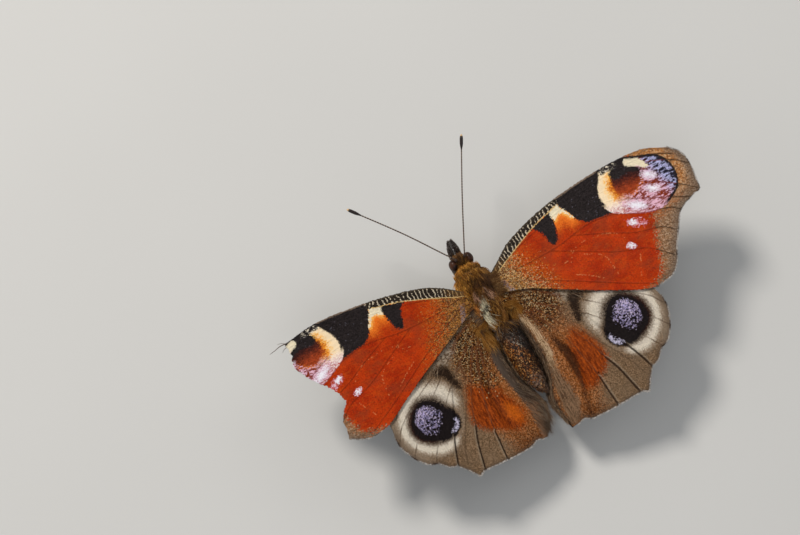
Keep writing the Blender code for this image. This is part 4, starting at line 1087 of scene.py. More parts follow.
wingHairs = {  # wing, side, from and to along the wing, from and to across it, count, lengths, thickness, lift, turn, grey
    "shoulder": ("fore", "right", -0.05, 0.035, 0.05, 1.0, 700, 0.8, 1.6, 0.026, 0.5, 0.1, 0.45),
    "rootFore": ("fore", "both", -0.03, 0.05, 0.15, 0.97, 260, 0.5, 1.1, 0.018, 0.35, 0.0, 0.2),
    "rootHind": ("hind", "both", -0.03, 0.10, 0.0, 1.0, 420, 0.6, 1.2, 0.018, 0.35, 0.1, 0.0),
    "hazeHind": ("hind", "both", 0.10, 0.48, 0.02, 0.34, 520, 0.8, 1.5, 0.016, 0.3, 0.1, -0.6),
    "seamHind": ("hind", "right", 0.02, 0.36, 0.08, 0.2, 300, 1.2, 2.2, 0.018, 0.4, -0.05, -0.9),
    "waistLeft": ("hind", "left", -0.03, 0.15, 0.92, 1.30, 1300, 1.3, 2.6, 0.022, 0.22, 0.2, 0.0),
    "waistRight": ("hind", "right", -0.03, 0.08, 0.72, 1.25, 1100, 1.0, 1.9, 0.024, 0.25, 0.4, 0.0),
    "fold": ("hind", "both", 0.05, 0.97, 1.03, 1.32, 1900, 0.5, 1.0, 0.018, 0.25, 0.3, 0.8),
    "brush": ("hind", "left", 0.55, 0.97, 0.97, 1.25, 1300, 0.8, 1.7, 0.02, 0.15, 0.55, 0.9),
    "crest": ("hind", "right", 0.1, 0.9, 0.97, 1.03, 120, 0.4, 0.8, 0.014, 0.2, 0.1, 0.7),
}


def growOnWing(name, kind, side, grid, finish, seed):
    _, _, start, end, first, last, count, shortest, longest, thick, lift, turn, grey = wingHairs[name]
    plan, place, fold = grid
    rows, columns = fold.shape
    hinge = 8
    flat = 1 + int((fold[-1] == 0).sum()) if kind == "hind" else columns
    rng = np.random.default_rng(seed)
    u = hinge * 0.4 + rng.uniform(start, end, count) * (rows - 1 - hinge)
    v = np.where((t := rng.uniform(first, last, count)) <= 1, t * (flat - 1), flat - 1 + (t - 1) / 0.32 * (columns - flat))
    u, v = np.clip(u, 0, rows - 1.01), np.clip(v, 0, columns - 1.01)
    i, j = u.astype(int), v.astype(int)
    fu, fv = (u - i)[:, None], (v - j)[:, None]

    def at(grid3):
        return ((grid3[i, j] * (1 - fv) + grid3[i, j + 1] * fv) * (1 - fu)
                + (grid3[i + 1, j] * (1 - fv) + grid3[i + 1, j + 1] * fv) * fu)

    along, across = np.gradient(place, axis=0), np.gradient(place, axis=1)
    ahead, inward = unit(at(along)), unit(at(across))
    up = unit(np.cross(ahead, inward))
    up *= sideSign[side] * np.sign(np.cross(along, across)[rows // 2, columns // 3, 2] * sideSign[side])
    yaw = rng.normal(0, 0.22, count) + turn
    way = unit(ahead * np.cos(yaw)[:, None] + inward * np.sin(yaw)[:, None])
    length = rng.uniform(shortest, longest, count)
    made = makeStrands(at(place), way, up, length, thick * rng.uniform(0.8, 1.2, count), lift * rng.uniform(0.6, 1.3, count),
                       lift * 0.9, rings=3)
    fields = {"grey": np.full(count, grey)}
    addCoat(f"wingHair.{name}.{side}", made, finish, planSpots(kind, at(plan)), fields, seed + 1, slot="body_hair")


def wingHairFinish():
    p = Paint("wingHair", Roughness=0.55, Specular_IOR_Level=0.1)
    a, b, c = p.chances()
    golden = steppedPick(p, b, [(0.30, (0.11, 0.040, 0.008)), (0.40, (0.32, 0.120, 0.016)), (0.30, (0.52, 0.27, 0.07))])
    grey = steppedPick(p, b, [(0.40, (0.050, 0.034, 0.025)), (0.38, (0.13, 0.090, 0.062)), (0.22, (0.30, 0.23, 0.17))])
    colour = p.mix(p.field("grey"), golden, grey)
    colour = p.mix(p.field("grey") * -1.0, colour, p.mix(a, (0.16, 0.12, 0.09), (0.62, 0.54, 0.44)))
    # hairs darker towards the root: painted shade deep among them
    return p.finish(p.tint(colour, p.field("tip") * 0.5 + 0.6), c * 0.2 + 0.45)


print("wings")
skinFinish = {kind: wingFinish(kind + "wingSkin", kind, False) for kind in ("fore", "hind", "under")}
scaleFinish = {kind: wingFinish(kind + "wingScales", kind, True) for kind in ("fore", "hind", "under")}
fringeScales, fineHair = fringeFinish(), wingHairFinish()
for kind in ("fore", "hind"):
    for side in sideSign:
        grid = wingGrid(kind, side)
        buildWing(kind, side, grid, [skinFinish[kind], skinFinish["under"]])
        coverWing(kind, side, "upper", scaleFinish[kind], 11)
        coverWing(kind, side, "fine", scaleFinish[kind], 14)
        coverWing(kind, side, "under", scaleFinish["under"], 17)
        makeFringe(kind, side, fringeScales, 23)
        for number, (name, group) in enumerate(wingHairs.items()):
            if group[0] == kind and group[1] in ("both", side):
                growOnWing(name, kind, side, grid, fineHair, 700 + number * 9)

# bare ends of veins at the torn tip of the left forewing

bareVeins = {
    "paths": ([(23.3, 3.95), (24.3, 3.95), (25.1, 3.7), (25.9, 3.5)], [(23.2, 3.5), (23.9, 3.35), (24.3, 3.0)],
              [(23.3, 3.8), (24.0, 4.25), (24.5, 4.35)]),
    "radii": (0.07, 0.05, 0.05),
}



def makeBareVeins():
    shape = Shape()
    for path, radius in zip(bareVeins["paths"], bareVeins["radii"]):
        line = smoothLine(path, 24)
        place = onWing("fore", "left", line) - np.array([0.0, 0.0, 0.06])
        shape.bar(place, np.linspace(radius, radius * 0.4, 25), 10, (0.02, 0.02, 0.98, 0.4))
    shape.add("bareVeins", [hornFinish], slot="wing_red")


# the body: one skin for head, thorax and abdomen

bodyRings = [  # y, x, z, half width, half height
    (-6.35, 0, 6.0, 0.02, 0.02), (-6.3, 0, 6.0, 0.35, 0.4), (-6.05, 0, 6.05, 0.75, 0.75), (-5.6, 0, 6.2, 1.05, 1.05),
    (-5.1, 0, 6.25, 1.1, 1.1), (-4.7, 0, 6.2, 0.85, 0.9), (-4.45, 0, 6.15, 0.65, 0.7), (-4.2, 0, 6.15, 0.8, 0.85),
    (-3.9, 0, 6.2, 1.25, 1.3), (-3.2, 0, 6.1, 1.95, 1.95), (-2.2, 0, 6.05, 2.3, 2.3), (-1.0, 0, 6.0, 2.45, 2.4),
    (0.6, 0, 6.0, 2.45, 2.4), (2.2, -0.05, 6.0, 2.15, 2.15), (3.4, -0.12, 6.0, 1.65, 1.7),
    (4.3, -0.22, 5.95, 1.1, 1.15), (4.75, -0.3, 5.9, 0.95, 1.0), (5.4, -0.45, 5.85, 1.3, 1.3),
    (7.0, -0.5, 5.7, 1.66, 1.53), (9.5, -0.45, 5.5, 1.75, 1.58), (11.8, -0.4, 5.25, 1.68, 1.48),
    (13.6, -0.45, 5.0, 1.28, 1.18), (14.9, -0.65, 4.85, 0.75, 0.75), (15.5, -0.83, 4.75, 0.3, 0.33),
    (15.6, -0.85, 4.75, 0.02, 0.02)]
bodyTable = smoothLine(bodyRings, 600, 2400)
bodySwell = [  # rounded bumps of the thorax: middle, radius, height
    ((2.2, -1.0, 7.2), 1.0, 0.22), ((-2.2, -1.0, 7.2), 1.0, 0.22), ((0.2, 2.7, 8.0), 1.0, 0.18),
    ((0.0, -1.2, 8.4), 1.5, 0.1)]
segmentEnds = (5.9, 7.3, 8.7, 10.1, 11.5, 12.8, 13.9, 14.8)
eyes = {"middle": (1.17, -5.25, 6.3), "half": (0.62, 0.85, 0.95)}


def bodySkin(y, turn):  # turn 0 is the top of the back, a quarter turn is the left side
    x, z, wide, tall = (np.interp(y, bodyTable[:, 0], bodyTable[:, k]) for k in (1, 2, 3, 4))
    ends = np.array(segmentEnds)
    past = y[..., None] - ends
    step = np.where(past > 0, np.exp(-past / 0.35), 0).max(-1)
    swell = -0.07 * step * easeIn(y, 5.2, 6.0)
    points = np.stack([x + (wide + swell) * np.sin(turn), y, z + (tall + swell) * np.cos(turn)], -1)
    out = unit(np.stack([np.sin(turn), np.zeros_like(y), np.cos(turn)], -1))
    for middle, radius, height in bodySwell:
        away = np.linalg.norm(points - np.array(middle), axis=-1)
        points = points + out * (height * np.exp(-(away / radius)**2))[..., None]
    return points


def bodyFrame(y, turn):  # place, way to the tail, way out of the skin
    step = 0.02
    here = bodySkin(y, turn)
    back = bodySkin(y + step, turn) - bodySkin(y - step, turn)
    around = bodySkin(y, turn + step) - bodySkin(y, turn - step)
    return here, unit(back), unit(np.cross(around, back))


def bodySpots(y, turn):
    return np.stack([0.01 + (turn / (2 * pi) + 0.5) * 0.98, 0.01 + (y + 6.4) / 22.2 * 0.98], -1)


def sprinkle(count, span, seed, arc=(-pi, pi)):  # roots on the body, even by area
    rng = np.random.default_rng(seed)
    y = rng.uniform(*span, count * 4)
    girth = np.interp(y, bodyTable[:, 0], bodyTable[:, 3])
    y = y[rng.random(len(y)) < girth / girth.max()][:count]
    turn = rng.uniform(*arc, len(y))
    here, back, out = bodyFrame(y, turn)
    rel = np.abs(here * [1, 1, 1] - np.array(eyes["middle"]) * [0, 1, 1])
    rel[:, 0] = np.abs(np.abs(here[:, 0]) - eyes["middle"][0])
    clear = np.linalg.norm(rel / (np.array(eyes["half"]) + 0.06), axis=1) > 1
    return y[clear], turn[clear], here[clear], back[clear], out[clear], rng


def swept(back, out, aside, down, rng, spread):  # the lie of a coat: back along the body, turned a little
    side = unit(np.cross(out, back))
    yaw = rng.normal(0, spread, len(back)) + aside
    way = back * np.cos(yaw)[:, None] + side * np.sin(yaw)[:, None]
    way[:, 2] -= down
    way -= out * (way * out).sum(1, keepdims=True)
    return unit(way)


class Shape:  # gathers round bars and balls into one mesh
    def __init__(self):
        self.points, self.fields, self.faces, self.spots, self.count = [], {}, {3: [], 4: []}, {3: [], 4: []}, 0

    def grid(self, rings, box, fields):  # rings of points, closed at both ends
        rows, columns = rings.shape[:2]
        ends = rings[[0, -1]].mean(1)
        self.points += [rings.reshape(-1, 3), ends]
        for key, values in fields.items():
            values = np.broadcast_to(np.asarray(values, float).reshape(rows, -1), (rows, columns)).ravel()
            self.fields.setdefault(key, []).append(np.r_[values, values[0], values[-1]])
        i, j = np.meshgrid(np.arange(rows - 1), np.arange(columns), indexing="ij")
        corner = np.array([(0, 0), (1, 0), (1, 1), (0, 1)])
        low, high = np.array(box[:2]), np.array(box[2:])
        share = np.stack([(i[..., None] + corner[:, 0]) / (rows - 1), (j[..., None] + corner[:, 1]) / columns], -1)
        k = (j[..., None] + corner[:, 1]) % columns
        self.faces[4].append(self.count + ((i[..., None] + corner[:, 0]) * columns + k).reshape(-1, 4))
        self.spots[4].append((low + share * (high - low)).reshape(-1, 2))
        ring = np.arange(columns)
        size = rows * columns
        for end, turn in ((0, 1), (rows - 1, -1)):
            fan = np.stack([np.full(columns, size + (end > 0)), end * columns + ring,
                            end * columns + (ring + 1) % columns], 1)[:, ::turn]
            self.faces[3].append(self.count + fan)
            around = np.stack([np.cos(ring / columns * 2 * pi), np.sin(ring / columns * 2 * pi)], 1)
            middle = low + (high - low) * (0.5, 0.5)
            tri = np.stack([np.broadcast_to(middle, around.shape), middle + around * 0.002,
                            middle + np.roll(around, -1, 0) * 0.002], 1)[:, ::turn]
            self.spots[3].append(tri.reshape(-1, 2))
        self.count += size + 2

    def bar(self, path, radii, sides, box, along=None, **fields):
        path = np.asarray(path, float)
        ahead = unit(np.gradient(path, axis=0))
        side = np.cross(ahead[0], (0.0, 0.0, 1.0))
        if np.linalg.norm(side) < 0.1:
            side = np.cross(ahead[0], (0.0, 1.0, 0.0))
        rings = []
        turn = np.arange(sides) / sides * 2 * pi
        for here, way, radius in zip(path, ahead, np.broadcast_to(radii, len(path))):
            side = unit(side - way * (side @ way))
            over = np.cross(way, side)
            rings.append(here + radius * (np.outer(np.cos(turn), side) + np.outer(np.sin(turn), over)))
        t = np.linspace(0, 1, len(path)) if along is None else along
        self.grid(np.array(rings), box, {"along": t, **fields})

    def add(self, name, finishes, **more):
        fields = {key: np.concatenate(values) for key, values in self.fields.items()}
        points = np.concatenate(self.points)
        fields["place"] = points
        kept = [k for k in (4, 3) if self.faces[k]]
        return addPiece(name, points, [np.concatenate(self.faces[k]) for k in kept], finishes, fields=fields,
                        spots=np.concatenate([s for k in kept for s in self.spots[k]]), **more)


def intoLocks(here, way, out, share, pull, rng):  # leans hairs towards a few among them; gives each lock a number
    chosen = rng.choice(len(here), max(len(here) // share, 1), replace=False)
    near = np.empty(len(here), int)
    for start in range(0, len(here), 1000):
        part = here[start:start + 1000, None] - here[None, chosen]
        near[start:start + 1000] = (part**2).sum(-1).argmin(1)
    lean = here[chosen][near] - here
    lean -= out * (lean * out).sum(1, keepdims=True)
    yaw = rng.normal(0, 0.16, len(chosen))[near][:, None]
    return unit(way + lean * pull + np.cross(out, way) * yaw), rng.random(len(chosen))[near]


def bodyColours(p, dice):
    a, b, c = dice
    x, y, z = p.axes(p.place("place"))
    cloud = p.noise(p.place("place"), 1.1, 3.0)
    across = abs(x)

    def patch(px, py, wide, long, edge=0.35, slant=0.0):  # an oval on the back, 1 inside
        off = x - px - (y - py) * slant
        reach = off.work("POWER", abs(off) / wide, 2.0)
        reach = reach + (abs(y - py) / long).work("POWER", abs(y - py) / long, 2.0)
        return p.ease(reach + (a - 0.5) * edge * 2, 1.0 + edge, 1.0 - edge)

    brown = steppedPick(p, b, [(0.35, (0.035, 0.014, 0.004)), (0.40, (0.13, 0.050, 0.010)), (0.25, (0.30, 0.145, 0.035))])
    gold = steppedPick(p, b, [(0.25, (0.10, 0.034, 0.005)), (0.45, (0.32, 0.115, 0.010)), (0.30, (0.54, 0.27, 0.05))])
    # gold on the collar and flanks, fuller on the left half: partly the hair's own gold, partly painted light on the
    # left side
    front = p.ease(y + (a - 0.5) * 1.0 + cloud * 1.6, -1.6, -3.0) * (p.ease(x, -1.8, 0.2) * 0.6 + 0.4)
    flank = p.ease(x + cloud * 1.4 + (a - 0.5) * 0.8, 1.7, 2.8) * p.ease(y, 2.6, 0.8)
    rightFlank = p.ease(x * -1.0 + cloud * 1.6 + (a - 0.5), 2.3, 3.2) * 0.6
    share = front.work("MAXIMUM", front, flank).work("MAXIMUM", front + flank, rightFlank)
    colour = p.mix(share.work("MINIMUM", share, 1.0) * p.ease(c, 1.0, 0.5), brown, gold)
    colour = p.mix(patch(1.5, 4.1, 1.3, 1.0) * 0.8, colour, gold)
    colour = p.mix(patch(2.3, 1.9, 0.8, 2.0) * 0.7, colour, p.mix(b, (0.24, 0.065, 0.012), (0.46, 0.17, 0.045)))
    dark = p.ease(cloud, 0.40, 0.55) * patch(-0.6, -0.8, 1.4, 1.6)
    colour = p.mix(dark * 0.85, colour, (0.028, 0.013, 0.008))
    # dark patch on the thorax's right side: painted shade
    colour = p.mix(patch(-1.9, -0.9, 1.1, 1.9) * 0.75, colour, (0.032, 0.014, 0.006))
    pinkish = patch(-0.55, 0.35, 0.42, 0.8, 0.35, -0.25)
    pinkish = pinkish.work("MAXIMUM", pinkish, patch(1.06, 0.1, 0.3, 0.75))
    colour = p.mix(pinkish * (b > 0.3), colour, p.mix(a, (0.22, 0.10, 0.055), (0.54, 0.33, 0.22)))
    shield = patch(0.88, 1.95, 0.76, 1.25, 0.2, 0.38)
    colour = p.mix(shield, colour, p.mix(b, (0.125, 0.100, 0.056), (0.66, 0.59, 0.42)))
    colour = p.mix(shield * p.ease(abs(y - x * 0.3 - 2.15), 0.18, 0.07), colour, (0.03, 0.02, 0.012))
    colour = p.mix(p.ease(z, 5.6, 4.6) * 0.7, colour, (0.075, 0.045, 0.028))
    # head
    colour = p.mix(p.ease(y, -4.2, -4.8) * p.ease(c, 1.1, 0.3), colour, (0.060, 0.030, 0.015))
    # abdomen: nearly black with orange, tan and grey scales
    orange = p.ease(y + cloud * 3.0 + x * 1.2, 8.2, 11.0)
    pale = p.ease(y + cloud * 2.0, 12.8, 15.0)
    spark = steppedPick(p, b, [(0.48, (0.012, 0.006, 0.004)), (0.18, (0.060, 0.024, 0.010)),
                               (0.22, (0.32, 0.095, 0.012)), (0.12, (0.56, 0.29, 0.10))])
    quiet = steppedPick(p, b, [(0.62, (0.018, 0.010, 0.007)), (0.25, (0.075, 0.042, 0.026)),
                               (0.13, (0.19, 0.19, 0.175))])
    belly = p.mix(orange, quiet, spark)
    # the right side nearly black: painted shade
    belly = p.mix(p.ease(x + cloud * 1.6, 0.2, -0.9) * 0.85, belly, (0.015, 0.009, 0.007))
    belly = p.mix(pale * (c > 0.6), belly, (0.22, 0.14, 0.10))
    line = p.ease(abs(z - 5.55 + (y - 9.5) * 0.09), 0.2, 0.08) * p.ease(abs(y - 10.2), 4.2, 3.2)
    belly = p.mix(line * (b > 0.25) * 0.85, belly, (0.44, 0.33, 0.21))
    belly = p.mix(p.ease(z + cloud, 5.5, 4.7) * 0.6, belly, (0.16, 0.12, 0.085))
    belly = p.tint(belly, 1.0 - p.ease(y, 7.5, 10.5) * 0.2)
    return p.mix(p.ease(y + (a - 0.5) * 1.4, 4.4, 5.6), colour, belly)


def bodyFinish(name, coat):
    p = Paint(name, Roughness=0.6, Specular_IOR_Level=0.12)
    if coat:
        # hairs and scales darker towards the root: painted shade deep in the coat; each lock brighter or darker at
        # random
        colour = p.tint(bodyColours(p, p.chances()), (p.field("tip") * 1.0 + 0.45) * (p.field("lock") * 1.15 + 0.52))
        return p.finish(colour, p.field("grain") * 0.25 + 0.42)
    place = p.place("place")
    dice = p.axes(p.node("ShaderNodeTexVoronoi", sockets={"Vector": place, "Scale": 5.0}, out=1))
    grainy = p.noise(p.stretch(place, (4.0, 1.2, 4.0)), 2.2, 4.0)
    return p.finish(p.tint(bodyColours(p, dice), 0.62), p.ease(grainy, 0.2, 0.9) * 0.3 + 0.5, grainy, depth=0.08)


print("body")
rings, around = 320, 96
yLine = np.interp(np.linspace(0, 1, rings), np.linspace(0, 1, len(bodyTable)), bodyTable[:, 0])
turns = np.linspace(-pi, pi, around, endpoint=False)
skin = Shape()
gridY, gridTurn = np.meshgrid(yLine, turns, indexing="ij")
skin.grid(bodySkin(gridY, gridTurn), (0.99, 0.01, 0.01, 0.99), {})
skin.spots[4] = [np.concatenate(skin.spots[4])[:, ::-1]]
bodySkinFinish, bodyHairFinish = bodyFinish("bodySkin", False), bodyFinish("bodyHair", True)
skin.add("bodySkin", [bodySkinFinish], nodes=["head", "thorax", "abdomen"], slot="body_hair")

bodyHair = {  # span along the body, count, shortest, longest, thickness, rise, sag, arc
    "head": ((-6.25, -4.55), 2600, 0.32, 0.70, 0.024, 0.65, 0.30, (-pi, pi)),
    "collar": ((-4.5, -3.1), 2800, 0.60, 1.05, 0.030, 0.75, 0.45, (-pi, pi)),
    "thorax": ((-3.4, 4.3), 9500, 0.75, 1.45, 0.032, 0.46, 0.36, (-pi, pi)),
    "rump": ((2.7, 5.4), 2600, 1.4, 2.6, 0.026, 0.40, 0.34, (-pi * 0.75, pi * 0.75)),
    "flanks": ((4.8, 15.2), 2600, 0.35, 0.65, 0.018, 0.30, 0.25, (-pi, pi)),
    "tail": ((14.6, 15.55), 650, 0.45, 0.75, 0.02, 0.32, 0.1, (-pi, pi)),
}


def growBody(name, seed):
    span, count, shortest, longest, thick, rise, sag, arc = bodyHair[name]
    y, turn, here, back, out, rng = sprinkle(count, span, seed, arc)
    forward = name in ("head", "collar")
    way = swept(-back if forward else back, out, 0.0, 0.1 if name == "thorax" else 0.0, rng, 0.22)
    way, lock = intoLocks(here, way, out, 12, 1.6, rng)
    length = rng.uniform(shortest, longest, len(y))
    if name == "thorax":
        away = np.hypot(here[:, 0] - 0.88 - (here[:, 1] - 1.95) * 0.38, (here[:, 1] - 1.95) / 1.7)
        length *= np.where((away < 0.85) & (here[:, 2] > 7.0), 0.5, 1.0)
        length *= 1 + 0.6 * (here[:, 0] > 1.9) * (here[:, 1] > 0.4)
    lift = rise * (0.75 + lock * 0.5) * rng.uniform(0.7, 1.2, len(y))
    made = makeStrands(here, way, out, length, thick * rng.uniform(0.8, 1.25, len(y)), lift, sag, rings=2)
    addCoat("bodyHair." + name, made, bodyHairFinish, bodySpots(y, turn), {"place": here, "lock": lock}, seed + 1,
            slot="body_hair")


for number, name in enumerate(bodyHair):
    growBody(name, 100 + number * 7)
y, turn, here, back, out, rng = sprinkle(6200, (4.7, 15.5), 161)
made = makeShingles(here, swept(back, out, 0.0, 0.0, rng, 0.15), out, rng.uniform(0.26, 0.36, len(y)),
                    rng.uniform(0.13, 0.18, len(y)), rng.uniform(0.1, 0.35, len(y)), 0.02)
addCoat("abdomenScales", made, bodyHairFinish, bodySpots(y, turn), {"place": here, "lock": rng.uniform(0.4, 0.9, len(y))},
        162, slot="abdomen_scales")

# eyes, palps, tongue and feelers


def shellFinish(name, dark, light, rough=0.4, spec=0.4, marks=6.0, depth=0.03, coat=0.0):
    p = Paint(name, Roughness=rough, Specular_IOR_Level=spec, Coat_Weight=coat)
    spots = p.noise(p.place("place"), marks, 3.0)
    return p.finish(p.mix(p.ease(spots, 0.35, 0.65), dark, light), p.ease(spots, 0.1, 0.9) * 0.25 + (rough - 0.1),
                    spots, depth=depth)


def eyeFinish():
    p = Paint("compoundEye", Roughness=0.25, Specular_IOR_Level=0.16, Coat_Weight=0.08, Coat_Roughness=0.08)
    place = p.place("place")
    facet = p.node("ShaderNodeTexVoronoi", sockets={"Vector": place, "Scale": 16.0, "Randomness": 0.25})
    shade = p.noise(place, 1.4)
    rimTurn = p.ease(p.field("along"), 0.55, 0.2)
    colour = p.mix(p.ease(shade, 0.40, 0.60), (0.010, 0.004, 0.003), (0.048, 0.016, 0.007))
    colour = p.mix(rimTurn * 0.3, colour, (0.085, 0.030, 0.012))
    return p.finish(colour, p.ease(facet, 0.0, 0.08) * 0.2 + 0.18, facet, depth=0.02, strength=0.35)


def feelerFinish():
    p = Paint("feelerShaft", Roughness=0.5, Specular_IOR_Level=0.25)
    t = p.field("along")
    band = t * 46.0
    band = p.ease(band.work("FRACT", band), 0.30, 0.16)
    colour = p.mix(band * p.ease(t, 0.06, 0.1) * 0.8, (0.045, 0.026, 0.018), (0.42, 0.32, 0.24))
    colour = p.mix(p.ease(t, 0.862, 0.885), colour, (0.016, 0.010, 0.009))
    colour = p.mix(p.ease(t, 0.978, 0.992), colour, (0.62, 0.42, 0.22))
    scaly = p.noise(p.place("place"), 14.0, 2.0)
    return p.finish(colour, p.ease(scaly, 0.2, 0.8) * 0.3 + 0.35, scaly, depth=0.02)


feelers = {
    "left": [(0.62, -5.45, 6.9), (0.65, -5.5, 7.4), (0.9, -5.85, 7.74), (2.05, -7.48, 8.18), (5.3, -12.1, 9.35),
             (10.15, -18.5, 10.45)],
    "right": [(-0.62, -5.45, 6.9), (-0.65, -5.5, 7.4), (-0.85, -5.86, 7.74), (-1.7, -7.45, 8.16),
              (-4.55, -12.7, 9.35), (-8.6, -19.75, 10.45)],
    "radius": 0.085, "club": 0.235, "joints": 46, "clubStart": 0.868,
}
palpPath = [(0.6, -5.85, 4.9), (0.56, -6.6, 4.9), (0.5, -7.25, 5.6), (0.4, -7.85, 6.3), (0.26, -8.35, 6.95)]
palpRadii = [0.2, 0.24, 0.25, 0.17, 0.05]
eyePaint, feelerPaint = eyeFinish(), feelerFinish()
hornFinish = shellFinish("darkHorn", (0.035, 0.018, 0.010), (0.09, 0.05, 0.028), 0.35, 0.4, 5.0)


def makeEye(side):
    sign = sideSign[side]
    rows, columns = 56, 96
    lat = np.linspace(0.001, pi - 0.001, rows)[:, None]
    lon = np.linspace(0, 2 * pi, columns, endpoint=False)[None]
    facet = 0.004 * np.abs(np.sin(lat * 26) * np.sin(lon * np.round(52 * np.sin(lat)) / 2))
    radius = 1.0 + facet * (np.sin(lat) > 0.2)
    ball = np.stack([np.cos(lat) * radius + 0 * lon, np.sin(lat) * np.cos(lon) * radius,
                     np.sin(lat) * np.sin(lon) * radius], -1)
    ball = ball * np.array(eyes["half"]) + np.array(eyes["middle"])
    if sign < 0:
        ball = ball[:, ::-1]
    ball[..., 0] *= sign
    shape = Shape()
    shape.grid(ball, (0.02, 0.02, 0.98, 0.98), {"along": np.linspace(0, 1, rows)})
    shape.add("eye." + side, [eyePaint], nodes=["eye_" + side], slot="eye_brown")


def makeFeeler(side):
    t = np.linspace(0, 1, 46 * 8 + 1)
    path = smoothLine(feelers[side], len(t) - 1)
    f = feelers
    joint = (t * f["joints"]) % 1
    radius = f["radius"] * (1 + 0.16 * np.sin(pi * joint)) * (1 - 0.12 * t)
    club = easeIn(t, f["clubStart"], 0.93)
    radius = radius + (f["club"] - radius) * club * (1 - 0.1 * (1 - np.sin(pi * joint)))
    radius = np.where(t > 0.955, f["club"] * np.sqrt(np.maximum(1 - ((t - 0.955) / 0.0455)**2, 0.002)), radius)
    radius = radius + 0.12 * np.exp(-((t - 0.035) / 0.012)**2) + 0.1 * (t < 0.02)
    shape = Shape()
    shape.bar(path, radius, 16, (0.02, 0.3, 0.98, 0.45), t)
    shape.add("feeler." + side, [feelerPaint], nodes=["antenna_" + side], slot="feeler_brown")


def makePalp(side):
    sign = sideSign[side]
    steps = 60
    line = smoothLine([(x * sign, y, z, r) for (x, y, z), r in zip(palpPath, palpRadii)], steps)
    shape = Shape()
    shape.bar(line[:, :3], np.maximum(line[:, 3], 0.01), 20, (0.02, 0.1, 0.98, 0.6))
    shape.add("palp." + side, [bodySkinFinish], nodes=["palp_" + side], slot="body_hair")
    rng = np.random.default_rng(300 + sign)
    count = 1900
    t, turn = rng.uniform(0.1, 1.0, count), rng.uniform(0, 2 * pi, count)
    here = np.stack([np.interp(t, np.linspace(0, 1, steps + 1), line[:, k]) for k in range(3)], 1)
    radius = np.interp(t, np.linspace(0, 1, steps + 1), line[:, 3])
    ahead = unit(np.stack([np.interp(t, np.linspace(0, 1, steps + 1), g) for g in np.gradient(line[:, :3], axis=0).T], 1))
    side_ = unit(np.cross(ahead, (1.0, 0.0, 0.0)))
    over = np.cross(ahead, side_)
    out = side_ * np.cos(turn)[:, None] + over * np.sin(turn)[:, None]
    inner = np.maximum(-out[:, 0] * sign, 0)  # longer where the two palps face each other
    made = makeStrands(here + out * radius[:, None], ahead, out, rng.uniform(0.30, 0.58, count) * (1.15 - 0.45 * t),
                       0.026, rng.uniform(0.25, 0.6, count) * (1 + 0.8 * inner), 0.25)
    spots = np.stack([0.02 + t * 0.96, 0.1 + turn / (2 * pi) * 0.5], 1)
    addCoat("palpHair." + side, made, palpHairFinish, spots, {"place": here}, 310, slot="body_hair")


def palpColours():
    p = Paint("palpHair", Roughness=0.55, Specular_IOR_Level=0.15)
    a, b, c = p.chances()
    x, y, z = p.axes(p.place("place"))
    colour = steppedPick(p, b, [(0.42, (0.020, 0.014, 0.012)), (0.28, (0.085, 0.055, 0.038)), (0.30, (0.46, 0.39, 0.35))])
    colour = p.mix(p.ease(y + (c - 0.5), -7.2, -6.6) * 0.7, colour, (0.13, 0.065, 0.028))
    # hairs darker towards the root: painted shade deep among them
    return p.finish(p.tint(colour, p.field("tip") * 0.5 + 0.65), a * 0.2 + 0.45)


palpHairFinish = palpColours()
makeBareVeins()
for side in sideSign:
    makeEye(side)
    makeFeeler(side)
    makePalp(side)

tongue = Shape()
t = np.linspace(0, 1, 260)
coil = 0.62 - 0.46 * t
angle = -pi / 2 - 2 * pi * 2.75 * t
for offset in (-0.075, 0.075):
    path = np.stack([np.full(len(t), offset), tongueMiddle[1] + coil * np.cos(angle) * 0.95,
                     4.2 - coil * np.sin(angle)], 1)
    ridges = 1 + 0.07 * np.sin(t * 600)
    tongue.bar(path, (0.085 - 0.04 * t) * ridges, 12, (0.02, 0.3, 0.98, 0.4) if offset < 0 else (0.02, 0.5, 0.98, 0.6))
tongue.bar(smoothLine([(0, -5.75, 5.3), (0, -6.1, 5.1), (0, -6.35, 4.85)], 12), 0.16, 14, (0.02, 0.7, 0.98, 0.9))
tongue.add("tongue", [hornFinish], nodes=["proboscis"], slot="feeler_brown")

# legs: the front pair is folded to the chest, the others stand on the floor

legPaths = {
    "midleg": [(1.85, -0.9, 3.1), (5.2, -1.6, 4.9), (7.9, -2.6, 0.75), (10.2, -5.0, 0.22)],
    "hindleg": [(1.7, 1.6, 3.1), (4.6, 4.7, 4.7), (6.7, 8.9, 0.75), (8.3, 12.2, 0.22)],
}
foreLegPath = [(0.8, -3.3, 3.85), (1.0, -4.1, 3.35), (1.05, -4.9, 3.4), (1.15, -5.6, 3.9)]
footLength, footHeight = 0.16, 0.2


def legHairs(line, radii, count, length, rng, seed, name, thick=0.018, rise=0.5):
    steps = np.linspace(0, 1, len(line))
    t, turn = rng.uniform(0.03, 0.97, count), rng.uniform(0, 2 * pi, count)
    here = np.stack([np.interp(t, steps, line[:, k]) for k in range(3)], 1)
    ahead = unit(np.stack([np.interp(t, steps, g) for g in np.gradient(line, axis=0).T], 1))
    side = unit(np.cross(ahead, (0.0, 0.0, 1.0)))
    out = side * np.cos(turn)[:, None] + np.cross(ahead, side) * np.sin(turn)[:, None]
    radius = np.interp(t, steps, np.broadcast_to(radii, len(line)))
    here = here + out * radius[:, None]
    keep = here[:, 2] > 0.12
    made = makeStrands(here[keep], ahead[keep], out[keep], rng.uniform(0.6, 1.2, keep.sum()) * length, thick, rise, 0.3)
    spots = np.stack([0.02 + t * 0.96, 0.02 + turn / (2 * pi) * 0.96], 1)[keep]
    addCoat(name, made, legHairFinish, spots, {"place": here[keep]}, seed, slot="leg_brown")


